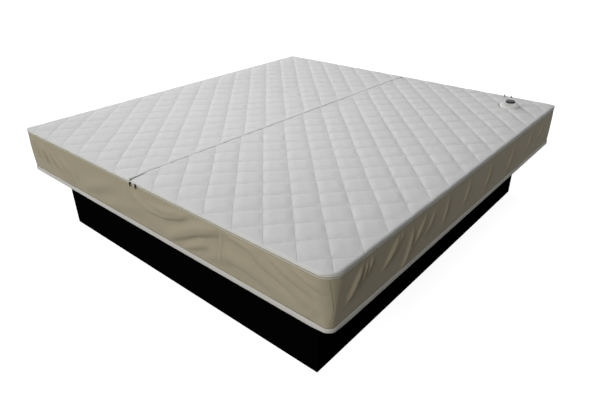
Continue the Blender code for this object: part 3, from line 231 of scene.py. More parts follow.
def inside_distance(x, y, radii):
    """Distance inwards from a rectangle with round corners: the radius less the distance from
    the rectangle drawn in by that radius."""
    radius = nearest_radius(x, y, radii)
    qx = np.abs(x) - (HALF_WIDTH - radius)
    qy = np.abs(y) - (HALF_LENGTH - radius)
    outside = np.hypot(np.maximum(qx, 0), np.maximum(qy, 0))
    return radius - outside - np.minimum(np.maximum(qx, qy), 0)


def half_sizes(quarter):
    """How far out the bed's side number quarter lies, and half of that side's length."""
    return (HALF_WIDTH, HALF_LENGTH) if quarter % 2 == 0 else (HALF_LENGTH, HALF_WIDTH)


def whole_cos_sin(quarter):
    """Cosine and sine of a number of quarter turns, as whole numbers."""
    return round(math.cos(quarter * QUARTER)), round(math.sin(quarter * QUARTER))


def rim_path(place, radii):
    """Points and outward directions round the mattress outline, for an array of places from 0
    to 1 counted anticlockwise from the middle of the right side: four straight runs joined by
    quarter circles, walked at an even pace. The last value is the outline's length."""
    runs = []
    for quarter in range(4):
        depth, side = half_sizes(quarter)
        first, last = radii[quarter], radii[(quarter + 1) % 4]
        runs.append((depth, first - side, 2 * side - first - last, last))
    around = sum(straight + QUARTER * radius for _, _, straight, radius in runs)
    s = (place * around + runs[0][2] / 2) % around
    found = np.zeros((4, len(s)))
    begin = 0.0
    for quarter, (depth, start, straight, radius) in enumerate(runs):
        cos, sin = whole_cos_sin(quarter)
        along = s - begin
        angle = np.clip((along - straight) / radius, 0, QUARTER)
        dx, dy = np.cos(angle), np.sin(angle)
        lx, ly = depth - radius + radius * dx, start + np.clip(along, 0, straight) + radius * dy
        turned = (cos * lx - sin * ly, sin * lx + cos * ly, cos * dx - sin * dy, sin * dx + cos * dy)
        found = np.where(along >= 0, turned, found)
        begin += straight + QUARTER * radius
    return *found, around


def scatter(first, second, seed):
    """A repeatable value from 0 to 1 for each pair of whole numbers: the far digits of a sine."""
    value = np.sin(first * 12.9898 + second * 78.233 + seed * 37.719) * 43758.5453
    return value - np.floor(value)


def swell(x, y, seed=0.0):
    """A slow uneven wave between about -1 and 1: three sines of unlike length and direction."""
    return (np.sin(TURN * (x / 0.83 + y / 1.9) + seed)
            + np.sin(TURN * (x / 2.1 - y / 0.71) + 1.7 + seed)
            + np.sin(TURN * (x / 0.47 + y / 0.59) + 4.1 + seed) * 0.5) / 2.5


# Materials

def put(tree, socket, value):
    """Links the socket to a value that is a socket itself, or sets it to any other value."""
    if isinstance(value, bpy.types.NodeSocket):
        tree.links.new(value, socket)
    else:
        socket.default_value = value


def new_node(tree, kind, **values):
    """A shader node of the kind, with its named inputs linked or set."""
    node = tree.nodes.new("ShaderNode" + kind)
    for label, value in values.items():
        put(tree, node.inputs[label], value)
    return node


def maths(tree, operation, *values):
    """The result of a math node."""
    node = tree.nodes.new("ShaderNodeMath")
    node.operation = operation
    for socket, value in zip(node.inputs, values):
        put(tree, socket, value)
    return node.outputs[0]


def times(tree, first, second):
    return maths(tree, "MULTIPLY", first, second)


def noise(tree, vector, scale, detail=3.0, roughness=0.5):
    """A noise from 0 to 1."""
    node = new_node(tree, "TexNoise", Vector=vector, Scale=scale, Detail=detail, Roughness=roughness)
    return node.outputs["Fac"]


def mixed(tree, factor, first, second):
    """A colour between two others."""
    node = tree.nodes.new("ShaderNodeMix")
    node.data_type = "RGBA"
    for label, value in (("Factor", factor), ("A", first), ("B", second)):
        put(tree, node.inputs[label], value)
    return node.outputs["Result"]


def node_group(name, inputs, result, kind):
    """An empty shader node group with the given input sockets and one result, the sockets that
    it reads, and the one that takes its result."""
    group = bpy.data.node_groups.new(name, "ShaderNodeTree")
    for label, socket_kind, default in inputs:
        socket = group.interface.new_socket(name=label, in_out="INPUT", socket_type=socket_kind)
        if default is not None:
            socket.default_value = default
    group.interface.new_socket(name=result, in_out="OUTPUT", socket_type=kind)
    given = group.nodes.new("NodeGroupInput").outputs
    return group, given, group.nodes.new("NodeGroupOutput").inputs[result]


def weave_group():
    """Threads over and under: a product of two sine rows on the piece's own UV map, in metres,
    with an uneven thread thickness, given as a height from 0 to 1."""
    group, given, height = node_group("thread_weave", [
        ("Vector", "NodeSocketVector", None), ("Threads", "NodeSocketFloat", 900.0),
        ("Unevenness", "NodeSocketFloat", 0.3)], "Height", "NodeSocketFloat")
    place = new_node(group, "SeparateXYZ", Vector=given["Vector"]).outputs
    turns = times(group, given["Threads"], TURN)
    warp = maths(group, "SINE", times(group, place["X"], turns))
    weft = maths(group, "SINE", times(group, place["Y"], turns))
    crossed = times(group, times(group, warp, weft), 0.35)
    uneven = times(group, noise(group, given["Vector"], 160.0), given["Unevenness"])
    put(group, height, maths(group, "ADD", maths(group, "ADD", crossed, uneven), 0.4))
    return group


def mottle_group():
    """Slow colour variation: two sizes of noise mix the colour towards a darker one."""
    group, given, colour = node_group("mottle", [
        ("Vector", "NodeSocketVector", None), ("Colour", "NodeSocketColor", (0.5, 0.5, 0.5, 1)),
        ("Darker", "NodeSocketColor", (0.4, 0.4, 0.4, 1)), ("Amount", "NodeSocketFloat", 0.5),
        ("Scale", "NodeSocketFloat", 8.0)], "Colour", "NodeSocketColor")
    broad = noise(group, given["Vector"], given["Scale"])
    fine = noise(group, given["Vector"], times(group, given["Scale"], 11.0))
    both = maths(group, "ADD", times(group, broad, 0.7), times(group, fine, 0.3))
    mask = times(group, both, given["Amount"])
    put(group, colour, mixed(group, mask, given["Colour"], given["Darker"]))
    return group


def worn_edge_group():
    """Handling wear: where the surface's own fine noise is high near a sharp edge, found from
    the bevelled normal, the mask rises from 0 to 1."""
    group, given, worn = node_group("edge_wear", [
        ("Vector", "NodeSocketVector", None), ("Width", "NodeSocketFloat", 0.002),
        ("Amount", "NodeSocketFloat", 0.5)], "Mask", "NodeSocketFloat")
    bevel = new_node(group, "Bevel", Radius=given["Width"])
    bevel.samples = 4
    plain = group.nodes.new("ShaderNodeNewGeometry")
    dot = group.nodes.new("ShaderNodeVectorMath")
    dot.operation = "DOT_PRODUCT"
    put(group, dot.inputs[0], bevel.outputs["Normal"])
    put(group, dot.inputs[1], plain.outputs["Normal"])
    edge = times(group, maths(group, "SUBTRACT", 1.0, dot.outputs["Value"]), 8.0)
    mask = times(group, edge, noise(group, given["Vector"], 90.0))
    put(group, worn, maths(group, "MINIMUM", times(group, mask, given["Amount"]), 1.0))
    return group


GROUP_MAKERS = {"weave": weave_group, "mottle": mottle_group, "wear": worn_edge_group}
GROUPS = {}


def group_node(tree, key, **values):
    """The result of a node of the shared group, with its named values set or linked."""
    if key not in GROUPS:
        GROUPS[key] = GROUP_MAKERS[key]()
    node = tree.nodes.new("ShaderNodeGroup")
    node.node_tree = GROUPS[key]
    for label, value in values.items():
        put(tree, node.inputs[label], value)
    return node.outputs[0]


def fresh_material(name, roughness, **constants):
    """A new material, its nodes, its shader with the constants set, and its coordinates."""
    made = bpy.data.materials.new(name)
    made.use_nodes = True
    tree = made.node_tree
    shader = tree.nodes["Principled BSDF"].inputs
    shader["Roughness"].default_value = roughness
    for label, value in constants.items():
        shader[label.replace("_", " ")].default_value = value
    return made, tree, shader, tree.nodes.new("ShaderNodeTexCoord").outputs


def add_bump(tree, shader, height, strength, distance, under=None):
    """Puts a bump on the shader, over the bump that under comes from, and returns its normal."""
    node = new_node(tree, "Bump", Strength=strength, Distance=distance, Height=height)
    if under is not None:
        put(tree, node.inputs["Normal"], under)
    put(tree, shader["Normal"], node.outputs["Normal"])
    return node.outputs["Normal"]


def rgba(colour, factor=1.0):
    """A colour times a factor, with the fourth value that a socket wants."""
    return (colour[0] * factor, colour[1] * factor, colour[2] * factor, 1.0)


def cloth_material(name, colour, threads, mottle=0.5, scale=8.0, sheen=0.2, roughness=0.85,
                   darker=0.85, fuzz=0.0004, gloss=0.25):
    """Woven cloth: a weave on the UV map, a soft mottle of colour and a fine fuzz."""
    made, tree, shader, place = fresh_material(name, roughness, Sheen_Weight=sheen,
                                               Specular_IOR_Level=gloss)
    tone = group_node(tree, "mottle", Vector=place["Object"], Colour=rgba(colour),
                      Darker=rgba(colour, darker), Amount=mottle, Scale=scale)
    put(tree, shader["Base Color"], tone)
    weave = group_node(tree, "weave", Vector=place["UV"], Threads=threads)
    crumple = noise(tree, place["Object"], 38.0, 4.0, 0.6)
    first = add_bump(tree, shader, crumple, 0.35, fuzz * 4)
    add_bump(tree, shader, weave, 0.4, fuzz, first)
    return made


def diamond_pitch():
    """Distance between neighbouring sewn lines of one family."""
    s = sizes()
    return 1 / math.hypot(1 / s.diamond_width, 1 / s.diamond_length)


def quilt_material(name):
    """White quilted knit. The UV map counts diamonds, so a sewn line lies where either
    coordinate is half way between whole numbers, and stitches repeat along it. Along the sewn
    lines the colour is painted darker, as painted shade in their grooves."""
    line_width, pucker_width, stitches = 0.0016, 0.02, 26
    # Added to both counts, whose fractions it leaves as they are
    whole = 200.0
    base = colours().quilt
    made, tree, shader, place = fresh_material(name, 0.92, Sheen_Weight=0.06, Specular_IOR_Level=0.06)
    count = new_node(tree, "SeparateXYZ", Vector=place["UV"]).outputs
    lines = []
    for axis, other in ((0, 1), (1, 0)):
        part = maths(tree, "FRACT", maths(tree, "ADD", count[axis], whole))
        away = times(tree, maths(tree, "ABSOLUTE", maths(tree, "SUBTRACT", part, 0.5)), diamond_pitch())
        share = maths(tree, "MINIMUM", maths(tree, "DIVIDE", away, line_width), 1.0)
        line = maths(tree, "SUBTRACT", 1.0, share)
        wave = maths(tree, "SINE", times(tree, count[other], TURN * stitches))
        dashes = maths(tree, "ADD", times(tree, wave, 0.5), 0.5)
        lines.append((line, times(tree, line, dashes), away))
    seam = maths(tree, "MAXIMUM", lines[0][0], lines[1][0])
    thread = maths(tree, "MAXIMUM", lines[0][1], lines[1][1])
    near = maths(tree, "MINIMUM", lines[0][2], lines[1][2])
    tone = group_node(tree, "mottle", Vector=place["Object"], Colour=rgba(base),
                      Darker=rgba(base, 0.88), Amount=0.6, Scale=5.0)
    # Painted shade: along the sewn lines the colour darkens towards 0.45 of the white, standing in for
    # the shade in their grooves
    put(tree, shader["Base Color"], mixed(tree, times(tree, seam, 0.30), tone, rgba(base, 0.45)))
    fade = maths(tree, "SUBTRACT", 1.0, maths(tree, "DIVIDE", near, pucker_width))
    pucker = times(tree, noise(tree, place["Object"], 70.0, 2.0), maths(tree, "MAXIMUM", fade, 0.0))
    soft = add_bump(tree, shader, pucker, 0.5, 0.004)
    rumple = add_bump(tree, shader, noise(tree, place["Object"], 26.0, 4.0, 0.6), 0.3, 0.004, soft)
    sewn = maths(tree, "SUBTRACT", thread, times(tree, seam, 1.6))
    stitched = add_bump(tree, shader, sewn, 0.6, 0.0012, rumple)
    knit = new_node(tree, "TexVoronoi", Vector=place["Object"], Scale=420.0)
    add_bump(tree, shader, knit.outputs["Distance"], 0.25, 0.0005, stitched)
    return made


def plain_material(name, colour, roughness, grain=120.0, wear=None, metallic=0.0, **constants):
    """Moulded, painted or bare solid: a fine grain in roughness and bump, and worn edges, for
    which wear gives a colour and an amount."""
    made, tree, shader, place = fresh_material(name, roughness, Metallic=metallic, **constants)
    speck = noise(tree, place["Object"], grain, 3.0, 0.55)
    tone = group_node(tree, "mottle", Vector=place["Object"], Colour=rgba(colour),
                      Darker=rgba(colour, 0.8), Amount=0.5, Scale=grain / 6)
    if wear is not None:
        mask = group_node(tree, "wear", Vector=place["Object"], Amount=wear[1])
        tone = mixed(tree, mask, tone, rgba(wear[0]))
    put(tree, shader["Base Color"], tone)
    spread = 0.14
    put(tree, shader["Roughness"], maths(tree, "ADD", times(tree, speck, spread), roughness - spread / 2))
    add_bump(tree, shader, speck, 0.15, 0.0004)
    return made


def finish_node(name, finish):
    """Gives a carried-over solid its material."""
    node = frame["nodes"][name]
    node.data.materials.clear()
    node.data.materials.append(finish)


# Quilted top

# Half of the gap between the lips of the two halves, and how far a lip lies over the underside
LIP_GAP, LIP_RISE = 0.0056, 0.0071
# Width of the rolled edge beside the gap, and the least thickness of the fabric
GROOVE_ROLL, FABRIC = 0.006, 0.0004
# Centre of one diamond of each half, measured inwards from the half's corner at the head end
LEFT_DIAMOND, RIGHT_DIAMOND = (0.0557, 0.0870), (0.1307, 0.1016)
# Cells whose middles lie nearer to the valve's axis than this are cut out, and the hole's radius
CUT_RADIUS, HOLE_RADIUS = 0.0250, 0.0222

# How far the sewn lines drift from an even field of diamonds, in diamonds, for each half and
# each of the two families of lines: a constant, then the factors of x, y, x y, y y and x x
SEAM_DRIFT = {
    -1: ((-0.289, 0.173, -0.280, 0.055, 0.100, -0.088), (0.127, 0.513, -0.297, -0.413, -0.214, 0.551)),
    1: ((-0.247, 0.177, -0.297, 0.347, 0.148, 0.199), (0.028, -0.078, -0.245, 0.306, -0.240, 0.210)),
}


def quilt_spacing(length, near, far, cell):
    """Places from 0 to length: crowded at both ends as the heights of a quarter circle are,
    and even between."""
    step = 1 - np.cos(np.linspace(0, QUARTER, 11)[:-1])
    middle = np.linspace(near, length - far, max(2, round((length - near - far) / cell) + 1))
    return np.concatenate([near * step, middle, length - far * step[::-1]])


def quilt_plan(side, radii):
    """Places of the points of one half of the top: rows across the bed from the groove's edge
    to the outline, which are shortened near an end to the round corner."""
    cell = sizes().cell
    head, foot = (radii[0], radii[1]) if side > 0 else (radii[3], radii[2])
    sine = np.sin(np.linspace(0, QUARTER, 18))
    begin, stop = head - HALF_LENGTH, HALF_LENGTH - foot
    straight = round((2 * HALF_LENGTH - head - foot) / cell)
    y = np.concatenate([begin - head * sine[::-1], np.linspace(begin, stop, straight + 1)[1:-1],
                        stop + foot * sine])
    outer = half_width_at(y, head, foot)
    inner = side * groove_line(y) + LIP_GAP
    share = quilt_spacing(HALF_WIDTH, 0.012, 0.022, cell) / HALF_WIDTH
    x = side * (inner[:, None] + share * (outer - inner)[:, None])
    return x, np.repeat(y[:, None], len(share), axis=1)


def drift(x, y, factors):
    """The drift of a family of sewn lines: a surface of the second degree over the bed."""
    return sum(factor * term for factor, term in zip(factors, (1, x, y, x * y, y * y, x * x)))


def seam_counts(x, y, side, centre):
    """Each point's place in the field of diamonds round a diamond's centre: the sum and the
    difference of its places across and along, counted in diamonds, with the drift of each
    family of sewn lines. A sewn line lies half way between whole numbers."""
    s = sizes()
    a = (x - centre[0]) / s.diamond_width
    b = (y - centre[1]) / s.diamond_length
    first, second = SEAM_DRIFT[side]
    return (a + b + drift(x, y, first) + 0.015 * swell(x * 2, y * 2, side),
            a - b + drift(x, y, second) + 0.015 * swell(y * 2, x * 2, side + 2))


def pillow_fill(p, q, side):
    """Fullness from 0 at a sewn line to 1: a diamond's two distances from its sewn lines, each
    turned into a share that rises steeply from the line and flattens, are multiplied, and each
    diamond has its own fullness."""
    full = 0.86 + 0.28 * scatter(np.round(p), np.round(q), side)
    rise = np.ones_like(p)
    for part in (p, q):
        away = (0.5 - np.abs(part - np.round(part))) * diamond_pitch()
        share = np.clip(away / sizes().channel, 0, 1)
        rise = rise * (1 - (1 - share) ** 2.3)
    return np.minimum(full * (0.06 + 0.94 * rise), 1.0)


def quilt_layers(x, y, p, q, side):
    """Points of the upper layer and then of the lower one. The top's height is the seam level
    plus the pillows, rolled down to the lip as a quarter circle falls, and the underside climbs
    to the same lip. Round the valve the right half sinks to the skirt's foot."""
    s = sizes()
    rim = np.clip(inside_distance(x, y, corner_radii()), 0, None)
    groove = np.clip(side * (x - groove_line(y)) - LIP_GAP, 0, None)
    deep = s.crown * (0.35 + 0.65 * ease(rim / 0.06)) * (0.4 + 0.6 * ease(groove / 0.05))
    top = QUILT_HIGH.z - deep * (1 - pillow_fill(p, q, side)) - 0.0010 * (1 + swell(x, y, side)) / 2
    top -= s.slope * (1 - np.clip(rim / 0.15, 0, 1)) ** 2
    groove_roll = rounded(groove / GROOVE_ROLL)
    lip = QUILT_LOW.z + LIP_RISE
    top = lip + (top - lip) * (rounded(rim / s.roll) * groove_roll)
    climb = np.maximum(np.clip(1 - rim / 0.010, 0, 1), np.clip(1 - groove / 0.0033, 0, 1))
    under = QUILT_LOW.z + LIP_RISE * climb
    # Above the zip's pull the two halves swell towards each other, but not where the top falls
    swollen = 0.0075 * np.sin(math.pi * groove_roll ** 2.5) * ease(rim / 0.10) * (groove < GROOVE_ROLL)
    if side > 0:
        around_valve = np.hypot(x - VALVE[0], y - VALVE[1])
        sunk = ease((SKIRT_RADIUS + 0.0045 - around_valve) / 0.0035)
        top = top * (1 - sunk) + np.minimum(top, SKIRT_LOW.z - FABRIC) * sunk
    layers = ((x - side * swollen, y, top), (x, y, np.minimum(under, top - FABRIC)))
    return np.concatenate([np.stack(layer, -1).reshape(-1, 3) for layer in layers])


def cut_valve_hole(points, quads, count):
    """Cuts the hole for the valve: the points where cut cells and kept ones meet are drawn onto
    a circle, in both layers of count points. The results are the kept cells and the hole's wall,
    which joins the layers along the edges that only one cut cell has."""
    centre = np.array(VALVE)
    outside = np.linalg.norm(points[quads].mean(axis=1)[:, :2] - centre, axis=1) > CUT_RADIUS
    cut, kept = quads[~outside], quads[outside]
    shared = np.intersect1d(cut.ravel(), kept.ravel())
    for layer in (shared, shared + count):
        away = points[layer, :2] - centre
        length = np.linalg.norm(away, axis=1, keepdims=True)
        points[layer, :2] = centre + away / length * HOLE_RADIUS
    edges = join(cut, np.roll(cut, -1, axis=1)).reshape(-1, 2)
    low, high = np.sort(edges, axis=1).T
    _, where, uses = np.unique(low * count + high, return_index=True, return_counts=True)
    first, last = edges[where[uses == 1]].T
    return kept, join(first, last, last + count, first + count)


def build_quilt(name, side, diamond):
    """Half of the quilted top: an upper and a lower layer that share the points of their edge,
    the right one with the hole for the valve."""
    x, y = quilt_plan(side, corner_radii())
    centre = (side * (HALF_WIDTH - diamond[0]), diamond[1] - HALF_LENGTH)
    p, q = seam_counts(x, y, side, centre)
    both = quilt_layers(x, y, p, q, side)
    count = x.size
    upper, hole = grid_quads(*x.shape), np.zeros((0, 4), int)
    if side > 0:
        upper, hole = cut_valve_hole(both, upper, count)
    edge = np.ones(x.shape, bool)
    edge[1:-1, 1:-1] = False
    on_edge = np.flatnonzero(edge)
    rename = np.arange(2 * count)
    rename[count + on_edge] = on_edge
    faces = np.concatenate([upper, rename[upper[:, ::-1] + count], hole])
    if side > 0:
        faces = faces[:, ::-1]
    used, packed = np.unique(faces, return_inverse=True)
    uv = np.concatenate([join(p, q).reshape(-1, 2)] * 2)[used]
    piece = new_piece(name, both[used], packed.reshape(faces.shape), quilt_material(name + "_knit"), uv)
    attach(piece, "bed")
    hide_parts("quilt_right" if side > 0 else "quilt_left")


# Border

# The folds in millimetres: the points of a fold's line, as places along the panel and heights
# over the floor, then its half width and its depth, which build_border scales up
HEAD_FOLDS = (
    (((-480, 370), (-180, 470)), 30, 2.0),
    (((-320, 345), (20, 425)), 34, 1.8),
    (((240, 335), (560, 420), (860, 480)), 30, 1.8),
    (((-829, 480), (-774, 391)), 11, 3.2),
    (((-905, 500), (-860, 400)), 13, 2.6),
    (((-800, 490), (-690, 400), (-560, 345)), 14, 4.6),
    (((-740, 485), (-650, 425), (-540, 365)), 12, 4.0),
    (((-640, 470), (-500, 400)), 15, 2.4),
    (((-30, 482), (74, 430)), 15, 3.4),
    (((-9, 455), (75, 445), (161, 450), (240, 472), (317, 508)), 16, 4.4),
    (((60, 472), (150, 474), (215, 486), (270, 508)), 13, 2.8),
    (((168, 360), (345, 457), (480, 508)), 23, 6.0),
    (((250, 350), (430, 440)), 20, 4.0),
    (((493, 500), (476, 370)), 6, 1.4),
    (((503, 508), (658, 500)), 13, 2.2),
    (((600, 508), (760, 450), (900, 400)), 20, 4.0),
    (((707, 512), (892, 443)), 14, 3.0),
    (((800, 512), (925, 470)), 10, 2.2),
    (((513, 430), (700, 405), (885, 378)), 22, 4.6),
    (((560, 395), (740, 368), (892, 358)), 16, 3.2),
    (((640, 352), (895, 350)), 10, 3.0),
)
RIGHT_FOLDS = (
    (((-935, 400), (-850, 500)), 9, 4.6),
    (((-885, 420), (-822, 495)), 7, 3.8),
    (((-845, 440), (-790, 500)), 7, 3.0),
    (((-735, 410), (-630, 500)), 9, 4.2),
    (((-690, 430), (-600, 500)), 8, 3.0),
    (((-600, 330), (-535, 480)), 11, 4.6),
    (((-555, 390), (-440, 497)), 9, 3.6),
    (((-450, 400), (-370, 480)), 10, 2.6),
    (((-300, 380), (-260, 500)), 10, 2.6),
    (((-120, 380), (-60, 500)), 10, 2.6),
    (((100, 370), (160, 490)), 11, 2.8),
    (((360, 360), (430, 490)), 11, 2.8),
    (((600, 380), (680, 500)), 11, 2.8),
    (((760, 400), (850, 500)), 10, 2.8),
)


def fold_relief(s, z, folds):
    """Outward push of the folds: for each one the distance from its bent line, taken on its
    nearest stretch, gives a ridge with a shallow trough on its lower side, fading at both ends."""
    relief = np.zeros_like(s)
    for line, width, depth in folds:
        line, width, depth = np.array(line) / MM, width / MM, depth / MM
        lengths = np.linalg.norm(np.diff(line, axis=0), axis=1)
        begin = np.concatenate([[0], np.cumsum(lengths)])
        best = np.full_like(s, np.inf)
        signed, along = np.zeros_like(s), np.zeros_like(s)
        for index, length in enumerate(lengths):
            d = (line[index + 1] - line[index]) / length
            rs, rz = s - line[index, 0], z - line[index, 1]
            t = np.clip(rs * d[0] + rz * d[1], 0, length)
            away = np.hypot(rs - t * d[0], rz - t * d[1])
            closer = away < best
            best = np.where(closer, away, best)
            signed = np.where(closer, np.sign(rz * d[0] - rs * d[1]) * away, signed)
            along = np.where(closer, (begin[index] + t) / begin[-1], along)
        fade = np.sin(math.pi * np.clip(along, 0.02, 0.98)) ** 0.7
        ridge = np.exp(-(signed / width) ** 2) - 0.55 * np.exp(-((signed + 1.7 * width) / width) ** 2)
        relief += depth * fade * ridge
    return relief


def border_corner(corner, turn, share):
    """Radii of a panel's own side of a corner and of its neighbour's side, by height. The
    head's right corner opens out into a broad curve on the head's side, which ends in a crease
    against a tight one; both meet the round corner of the zip at the top."""
    s = sizes()
    tight, wide = corner_radii(low=True)[corner], corner_radii()[corner]
    if corner > 0:
        plain = tight + (wide - tight) * ease((share - 0.72) / 0.28)
        return plain, plain
    heights = (0.0, 0.22, 0.42, 1.0)
    broad = np.interp(share, heights, (tight, (tight + s.crease_broad) / 2.2, s.crease_broad, wide))
    close = np.interp(share, heights, (tight, s.crease_tight, s.crease_tight, wide))
    return (close, broad) if turn == 0 else (broad, close)


def border_push(place, z, turn, folds, mirrored):
    """Outward push of the cloth of a border panel: its folds, the gathers under the zip and a
    slow wave."""
    sign = -1 if mirrored else 1
    push = (3.8 if turn % 2 else 2.6) * fold_relief(sign * place, z, folds)
    gather = np.sin(TURN * place / 0.019 + 3 * swell(place, z)) * np.sin(TURN * place / 0.173 + turn)
    push += 0.0008 * gather * np.exp(-(BORDER_HIGH.z - z) / 0.014)
    return push + 0.0007 * swell(place * 3, z * 5, turn)


def build_border(name, turn, folds, mirrored=False):
    """A border panel: a grid from the middle of one corner to the middle of the next and from
    the band to the zip. A corner is two eighths of circles, one on each panel. The push of the
    cloth fades at the band and the zip, where the cloth bulges least, and a sewn end draws in."""
    half_depth, half_side = half_sizes(turn)
    low, high = BORDER_LOW.z, BORDER_HIGH.z
    z = np.linspace(low, high, 60)
    share = (z - low) / (high - low)
    (first, first_other), (last, last_other) = (
        border_corner(corner, turn, share) for corner in (turn, (turn + 1) % 4))
    diagonal = math.sqrt(0.5)
    start = diagonal * first + (1 - diagonal) * first_other - half_side
    end = half_side - diagonal * last - (1 - diagonal) * last_other
    arc_steps, spacing = 14, 0.0045
    along = np.concatenate([-1 - np.linspace(1, 0, arc_steps + 1)[:-1],
                            np.linspace(-1, 1, round(2 * half_side / spacing)),
                            1 + np.linspace(0, 1, arc_steps + 1)[1:]])[:, None]
    run = np.clip(along, -1, 1)
    creased = np.where(along < 0, turn == 0, turn == 3)
    eighth = math.pi / 4 * np.where(creased, 0.9985, 0.997)
    bend = (along - run) * eighth
    radius = np.where(along < 0, first, last)
    centre = start + (run + 1) / 2 * (end - start)
    place = centre + bend * radius
    zz = z + 0 * place
    edge = np.minimum(1, np.minimum(share, 1 - share) / 0.06)
    sewn = np.exp(-((eighth - np.abs(bend)) * radius / 0.0035) ** 2) * (np.abs(bend) > 0) * ~creased
    bulge = 0.0026
    out = bulge * np.sin(math.pi * share) - bulge
    out = out + border_push(place, zz, turn, folds, mirrored) * edge - 0.0012 * sewn
    limit = np.where(out > 0, 0.0125, 0.0038)
    reach = radius + limit * np.tanh(out / limit)
    lx = half_depth - radius + reach * np.cos(bend)
    ly = centre + reach * np.sin(bend)
    cos, sin = whole_cos_sin(turn)
    points = join(cos * lx - sin * ly, sin * lx + cos * ly, zz)
    uv = join(place, zz)
    piece = new_piece(name + "_cloth", points, grid_quads(*zz.shape), border_material(), uv)
    wall = piece.modifiers.new("wall", "SOLIDIFY")
    wall.thickness = 0.0009
    wall.offset = -1
    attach(piece, "bed")
    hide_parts(name)


def border_material():
    """Champagne satin, made once for all panels: fine threads, a slow mottle and a soft sheen."""
    found = bpy.data.materials.get("champagne_satin")
    return found or cloth_material("champagne_satin", colours().border, 1400.0, mottle=0.6, scale=6.0,
                                   sheen=0.05, roughness=0.62, darker=0.86, fuzz=0.0003, gloss=0.08)


# Lower band and underside

# The band's section in millimetres: how far each point lies outside the outline and how far
# over the lower edge, up the outer face and down the inner one. Points further out than
# BAND_STILL wave in and out
BAND_SECTION = ((-2.0, 0.3), (-0.5, 1.6), (0.4, 4.0), (1.0, 8.0), (1.1, 13.0), (0.6, 18.0),
                (-0.2, 22.0), (-1.4, 23.8), (-2.4, 23.4), (-2.6, 20.0), (-2.2, 12.0), (-2.2, 4.0))
BAND_HEIGHT, BAND_STILL = 24.0, -2.0


def cover_plan(radii):
    """Places of the points of the cover's floor: rows across the bed, closer together along the
    round corners, from outline to outline."""
    arc = 1 - np.sin(np.linspace(0, QUARTER, 9))
    head, foot = (np.unique(np.round(np.outer(pair, arc), 4)) for pair in (radii[::3], radii[1:3]))
    end = HALF_LENGTH - max(radii)
    y = np.concatenate([head - HALF_LENGTH, np.linspace(-end, end, 120)[1:-1], HALF_LENGTH - foot[::-1]])
    left, right = half_width_at(y, radii[3], radii[2]), half_width_at(y, radii[0], radii[1])
    u = np.linspace(0, 1, 113)
    return u * (left + right)[:, None] - left[:, None], np.repeat(y[:, None], len(u), axis=1)


def outward_normals(x, y, radii):
    """Directions out of the outline at points on it: away from the nearest point of the
    rectangle that the corner radius draws in."""
    radius = nearest_radius(x, y, radii)
    dx = x - np.clip(x, radius - HALF_WIDTH, HALF_WIDTH - radius)
    dy = y - np.clip(y, radius - HALF_LENGTH, HALF_LENGTH - radius)
    away = np.hypot(dx, dy)
    return dx / away, dy / away


def curl(x, y):
    """How far the lower edge curls up about the head's right corner."""
    return 0.007 * np.exp(-((x - HALF_WIDTH) ** 2 + (y + HALF_LENGTH) ** 2) / 0.05 ** 2)


def build_cover():
    """The white cover under the mattress: a flat floor with a wall that rises as the band,
    closed by an inner wall and floor a cloth's thickness inside."""
    radii = corner_radii(low=True)
    x, y = cover_plan(radii)
    index = np.arange(x.size).reshape(x.shape)
    loop = np.concatenate([index[0, :-1], index[:-1, -1], index[-1, :0:-1], index[:0:-1, 0]])
    bx, by = x.ravel()[loop], y.ravel()[loop]
    nx, ny = outward_normals(bx, by, radii)
    low, high = COVER_LOW.z, COVER_HIGH.z
    wave = 0.0011 * swell(bx * 3, by * 3, 1.0) + 0.0006 * np.sin(bx * 61 + by * 57)
    wall = []
    for out, up in BAND_SECTION:
        share = min(1.0, up / BAND_HEIGHT)
        waviness = math.sin(math.pi * share) if out > BAND_STILL else 0.0
        reach = out / MM + wave * waviness
        level = low + up / MM + (1 - share) * curl(bx, by)
        wall.append(join(bx + nx * reach, by + ny * reach, level))
    outer_floor, inner_floor = (
        join(x * (1 - inset / HALF_WIDTH), y * (1 - inset / HALF_LENGTH), low + rise + curl(x, y))
        .reshape(-1, 3) for inset, rise in ((0.003, 0.0), (0.0026, 0.0018)))
    points = np.concatenate([outer_floor] + wall + [inner_floor])
    ring = len(loop)
    inner = x.size + len(wall) * ring
    rings = [loop] + [x.size + k * ring + np.arange(ring) for k in range(len(wall))] + [inner + loop]
    quads = [grid_quads(*x.shape)]
    for first, second in zip(rings, rings[1:]):
        quads.append(join(first, np.roll(first, -1), np.roll(second, -1), second))
    quads.append(grid_quads(*x.shape, start=inner)[:, ::-1])
    uv = points[:, :2] + points[:, 2:] * 0.7
    finish = cloth_material("band_cloth", colours().band, 700.0, scale=9.0, sheen=0.1, roughness=0.88)
    piece = new_piece("bottom_cover_cloth", points, np.concatenate(quads), finish, uv)
    piece.data.set_sharp_from_angle(angle=math.radians(60))
    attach(piece, "bed")
    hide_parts("bottom_cover")


# Zips

# Half of the slit between a zip's tapes, half of a tape's thickness, and a centre tape's reach
SLIT, HALF_TAPE, CENTRE_REACH = 0.0012, 0.0004, 0.0075
# How far the rim zip lies inside the outline, and a row of teeth beside its zip's line
RIM_INSET, TOOTH_OFFSET = 0.0020, 0.0017
# Half sizes of a tooth along, across and out of the zip
TOOTH = (0.0010, 0.0009, 0.0012)
# Length without teeth at either end of the centre zip
TOOTHLESS = 0.004
# Directions to the right, to the foot end and up, and those along and across the centre zip
EAST, FOOTWARDS, UP = np.eye(3)
TRAVEL = np.array([GROOVE_SLOPE, 1.0, 0.0]) / math.hypot(GROOVE_SLOPE, 1.0)
ACROSS = np.array([1.0, -GROOVE_SLOPE, 0.0]) / math.hypot(GROOVE_SLOPE, 1.0)


